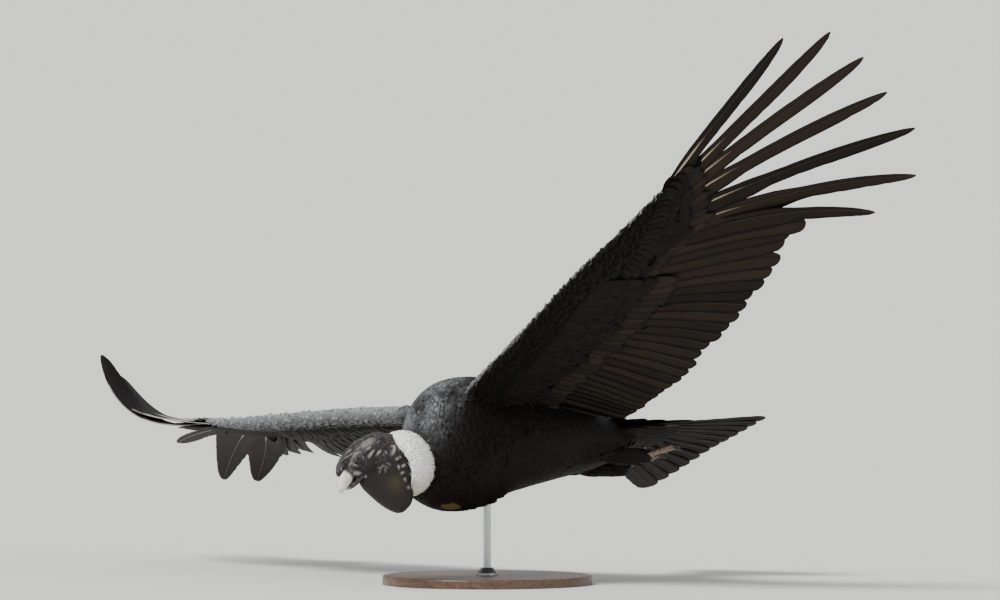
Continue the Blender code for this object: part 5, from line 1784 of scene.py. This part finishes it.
def build_ruff():
    """A collar of white down: a soft core under many fine tufts that lie back over it."""
    axis = place(math.cos(RUFF_DROOP), 0, -math.sin(RUFF_DROOP))
    up = ACROSS.cross(axis).normalized()
    up = up if up.z > 0 else -up
    centre = place(RUFF_CENTRE[0], 0, RUFF_CENTRE[1])
    rings = []
    for i in range(RUFF_RINGS):
        turn = 2 * math.pi * i / RUFF_RINGS
        radius = RUFF_RADIUS - 0.010 + 0.017 * math.sin(turn)
        middle = centre + axis * (RUFF_LENGTH * (math.cos(turn) * 0.42))
        rings.append(oval(middle, ACROSS, up, RUFF_SIDES, radius * 0.96, radius))
    bm = bmesh.new()
    tube(bm, rings, joined=True)
    faced(bm)
    core = object_from("ruff_core", bm)
    unwrap(core)
    bed = Ground(core)
    points, normals, spots, _ = bed.strewn(
        lambda places: np.full(len(places), TUFT_SPACING), 71, lambda places: np.ones(len(places))
    )
    radial = points - np.array(centre)
    radial = radial - np.outer(radial @ np.array(axis), np.array(axis))
    random = np.random.default_rng(72)
    flow = unit(radial) * 0.9 - np.array(axis) * 0.8 + random.normal(0, 0.16, points.shape)

    def tone_by_height(spots):
        """How pale the down is: it turns darker and beige towards its lower edge."""
        return np.clip(0.80 + (spots[:, 2] - centre.z + 0.030) / 0.07, 0.05, 0.80)

    down_tone = tone_by_height(points) + 0.2 * random.random(len(points))
    coat = Coat(DOWN_SOFTNESS)
    length = random.uniform(*TUFT_LENGTHS, len(points))
    lift = random.uniform(*TUFT_LIFTS, len(points))
    laid(
        coat, DOWNY, bed, points, normals, spots, flow, length, TUFT_WIDTH, lift, TUFT_THICKNESS,
        knots=TUFT, tint=down_tone, camber=0.2,
    )
    mark(core.data, "tint", tone_by_height(coordinates(core.data)))
    finish_piece(core, [DOWN])
    coat.make("ruff_down", [DOWN], ["ruff"])


build_ruff()


def bill_finish():
    """Worn horn of the bill: grey at its root, ivory from a third of its length, with streaks along it."""
    finish, tree, shader = new_finish("worn_ivory_horn", Roughness=0.34, IOR=1.54)
    # Streaks about 3 mm wide
    streaks = noise_of(tree, object_place(tree), 90.0, 5.0)
    ivory = ramp(tree, streaks, [(0.3, "#c4b8a2"), (0.62, "#f3ecdd")])
    grey = ramp(tree, streaks, [(0.3, "#1f1c1b"), (0.62, "#3d3835")])
    share = ranged(tree, attribute(tree, "ivory"), From_Min=0.2, From_Max=0.8)
    uneven = sums(tree, "ADD", share, sums(tree, "MULTIPLY", streaks, 0.2))
    paint(tree, shader, mixed(tree, sums(tree, "SUBTRACT", uneven, 0.1), grey, ivory))
    bumped(tree, shader, streaks, 0.0004, 0.4)
    return finish


def build_bill():
    """Upper and lower bill; each turns from grey to ivory over a stretch of its length."""
    horn = bill_finish()
    for name, rows, node_name, turn in (
        ("bill_upper_horn", BILL_UPPER, "bill_upper", (0.078, 0.092)),
        ("bill_lower_horn", BILL_LOWER, "bill_lower", (0.098, 0.118)),
    ):
        bm = bmesh.new()
        tube(bm, along_head(rows, 24))
        faced(bm)
        bill = object_from(name, bm)
        inverse = HEAD_TURN.inverted()
        ivory = [(-(inverse @ vert.co).y - turn[0]) / (turn[1] - turn[0]) for vert in bill.data.vertices]
        mark(bill.data, "ivory", np.clip(ivory, 0, 1))
        finish_piece(bill, [horn], [node_name])


build_bill()


def build_eyes():
    glass = eye_finish()
    for side, word in ((1, "left"), (-1, "right")):
        bm = bmesh.new()
        bmesh.ops.create_uvsphere(bm, u_segments=32, v_segments=20, radius=EYE_RADIUS)
        gaze = Vector((side, EYE_GAZE_FORWARD, 0.0)).normalized()
        angles = [vert.co.angle(gaze) / math.pi for vert in bm.verts]
        bmesh.ops.translate(bm, vec=eye_centre(side), verts=bm.verts[:])
        eye = object_from(f"eyeball_{word}", bm)
        mark(eye.data, "gaze", angles)
        finish_piece(eye, [glass], [f"eye_{word}"])


build_eyes()


def build_feet():
    skin_of_foot = foot_finish()
    black_horn = claw_finish()
    for word in ("left", "right"):
        bm = bmesh.new()
        copied(bm, f"foot_{word}")
        welded(bm)
        foot = object_from(f"scaly_foot_{word}", bm)
        remesh(foot, FOOT_VOXEL)
        smooth(foot, 4)
        finish_piece(foot, [skin_of_foot], [f"foot_{word}"])
        for number in range(1, 5):
            bm = bmesh.new()
            copied(bm, f"claw_{word}_{number}")
            welded(bm)
            bmesh.ops.subdivide_edges(bm, edges=bm.edges[:], cuts=1, use_grid_fill=True, smooth=0.6)
            claw = object_from(f"horn_claw_{word}_{number}", bm)
            finish_piece(claw, [black_horn], [f"claw_{word}_{number}"])


build_feet()


def build_stand():
    """A turned disc with a rounded edge; the rod and collar keep their solids."""
    bm = bmesh.new()
    radii = {"radius1": BASE_RADIUS, "radius2": BASE_RADIUS}
    bmesh.ops.create_cone(bm, cap_ends=True, segments=128, depth=BASE_THICKNESS, **radii)
    bmesh.ops.translate(bm, vec=(0, 0, BASE_THICKNESS / 2), verts=bm.verts[:])
    rim = [edge for edge in bm.edges if all(vert.co.z > BASE_THICKNESS * 0.9 for vert in edge.verts)]
    bmesh.ops.bevel(bm, geom=rim, offset=BASE_BEVEL, affect="EDGES", segments=4, profile=0.5, material=-1)
    disc = object_from("stand_disc", bm, smooth=False)
    disc.data.set_sharp_from_angle(angle=math.radians(35))
    finish_piece(disc, [wood_finish()], ["stand_base"], posed=False)
    steel = steel_finish()
    for name in ("stand_rod", "stand_collar"):
        frame["nodes"][name].data.materials.clear()
        frame["nodes"][name].data.materials.append(steel)


build_stand()


FLOOR_RADIUS = 400.0
SKY_STRENGTH = 0.75
# Suns: the way to each, how wide it is in degrees, and its strength
SUNS = {
    "key_light": (-CAMERA_RIGHT * 0.55 + CAMERA_BACK * 0.40 + UP * 0.85, 20, 4.0),
    "fill_light": (CAMERA_RIGHT * 0.8 + CAMERA_BACK * 0.6 + UP * 0.45, 60, 0.35),
}


def build_stage():
    """Pale floor, soft studio light and the photograph's camera."""
    bm = bmesh.new()
    bmesh.ops.create_circle(bm, segments=64, radius=FLOOR_RADIUS, cap_ends=True)
    floor = object_from("studio_floor", bm)
    paper, _, shader = new_finish("matt_studio_paper", Roughness=0.9)
    shader.inputs["Base Color"].default_value = colour("#d9d8d4")
    floor.data.materials.append(paper)
    world = bpy.data.worlds.new("studio")
    bpy.context.scene.world = world
    world.use_nodes = True
    sky = world.node_tree.nodes["Background"]
    sky.inputs["Color"].default_value = colour("#f0f2f5")
    sky.inputs["Strength"].default_value = SKY_STRENGTH
    # Suns light the floor evenly as far as the camera sees, and their wide discs keep the shadows soft.
    for name, (spot, width, power) in SUNS.items():
        lamp = bpy.data.lights.new(name, "SUN")
        lamp.angle = math.radians(width)
        lamp.energy = power
        obj = object_of(name, lamp)
        obj.location = spot * 5
        obj.rotation_euler = spot.to_track_quat("Z", "Y").to_euler()
    lens_data = bpy.data.cameras.new("camera")
    lens_data.sensor_width = SENSOR
    lens_data.lens = SENSOR * CAMERA_DISTANCE / (PHOTO_WIDTH / PIXELS_PER_METRE)
    lens_data.clip_end = 1000.0
    camera = object_of("camera", lens_data)
    camera.location = CAMERA_AIM + CAMERA_BACK * CAMERA_DISTANCE
    camera.rotation_euler = CAMERA_BACK.to_track_quat("Z", "Y").to_euler()
    bpy.context.scene.camera = camera


build_stage()
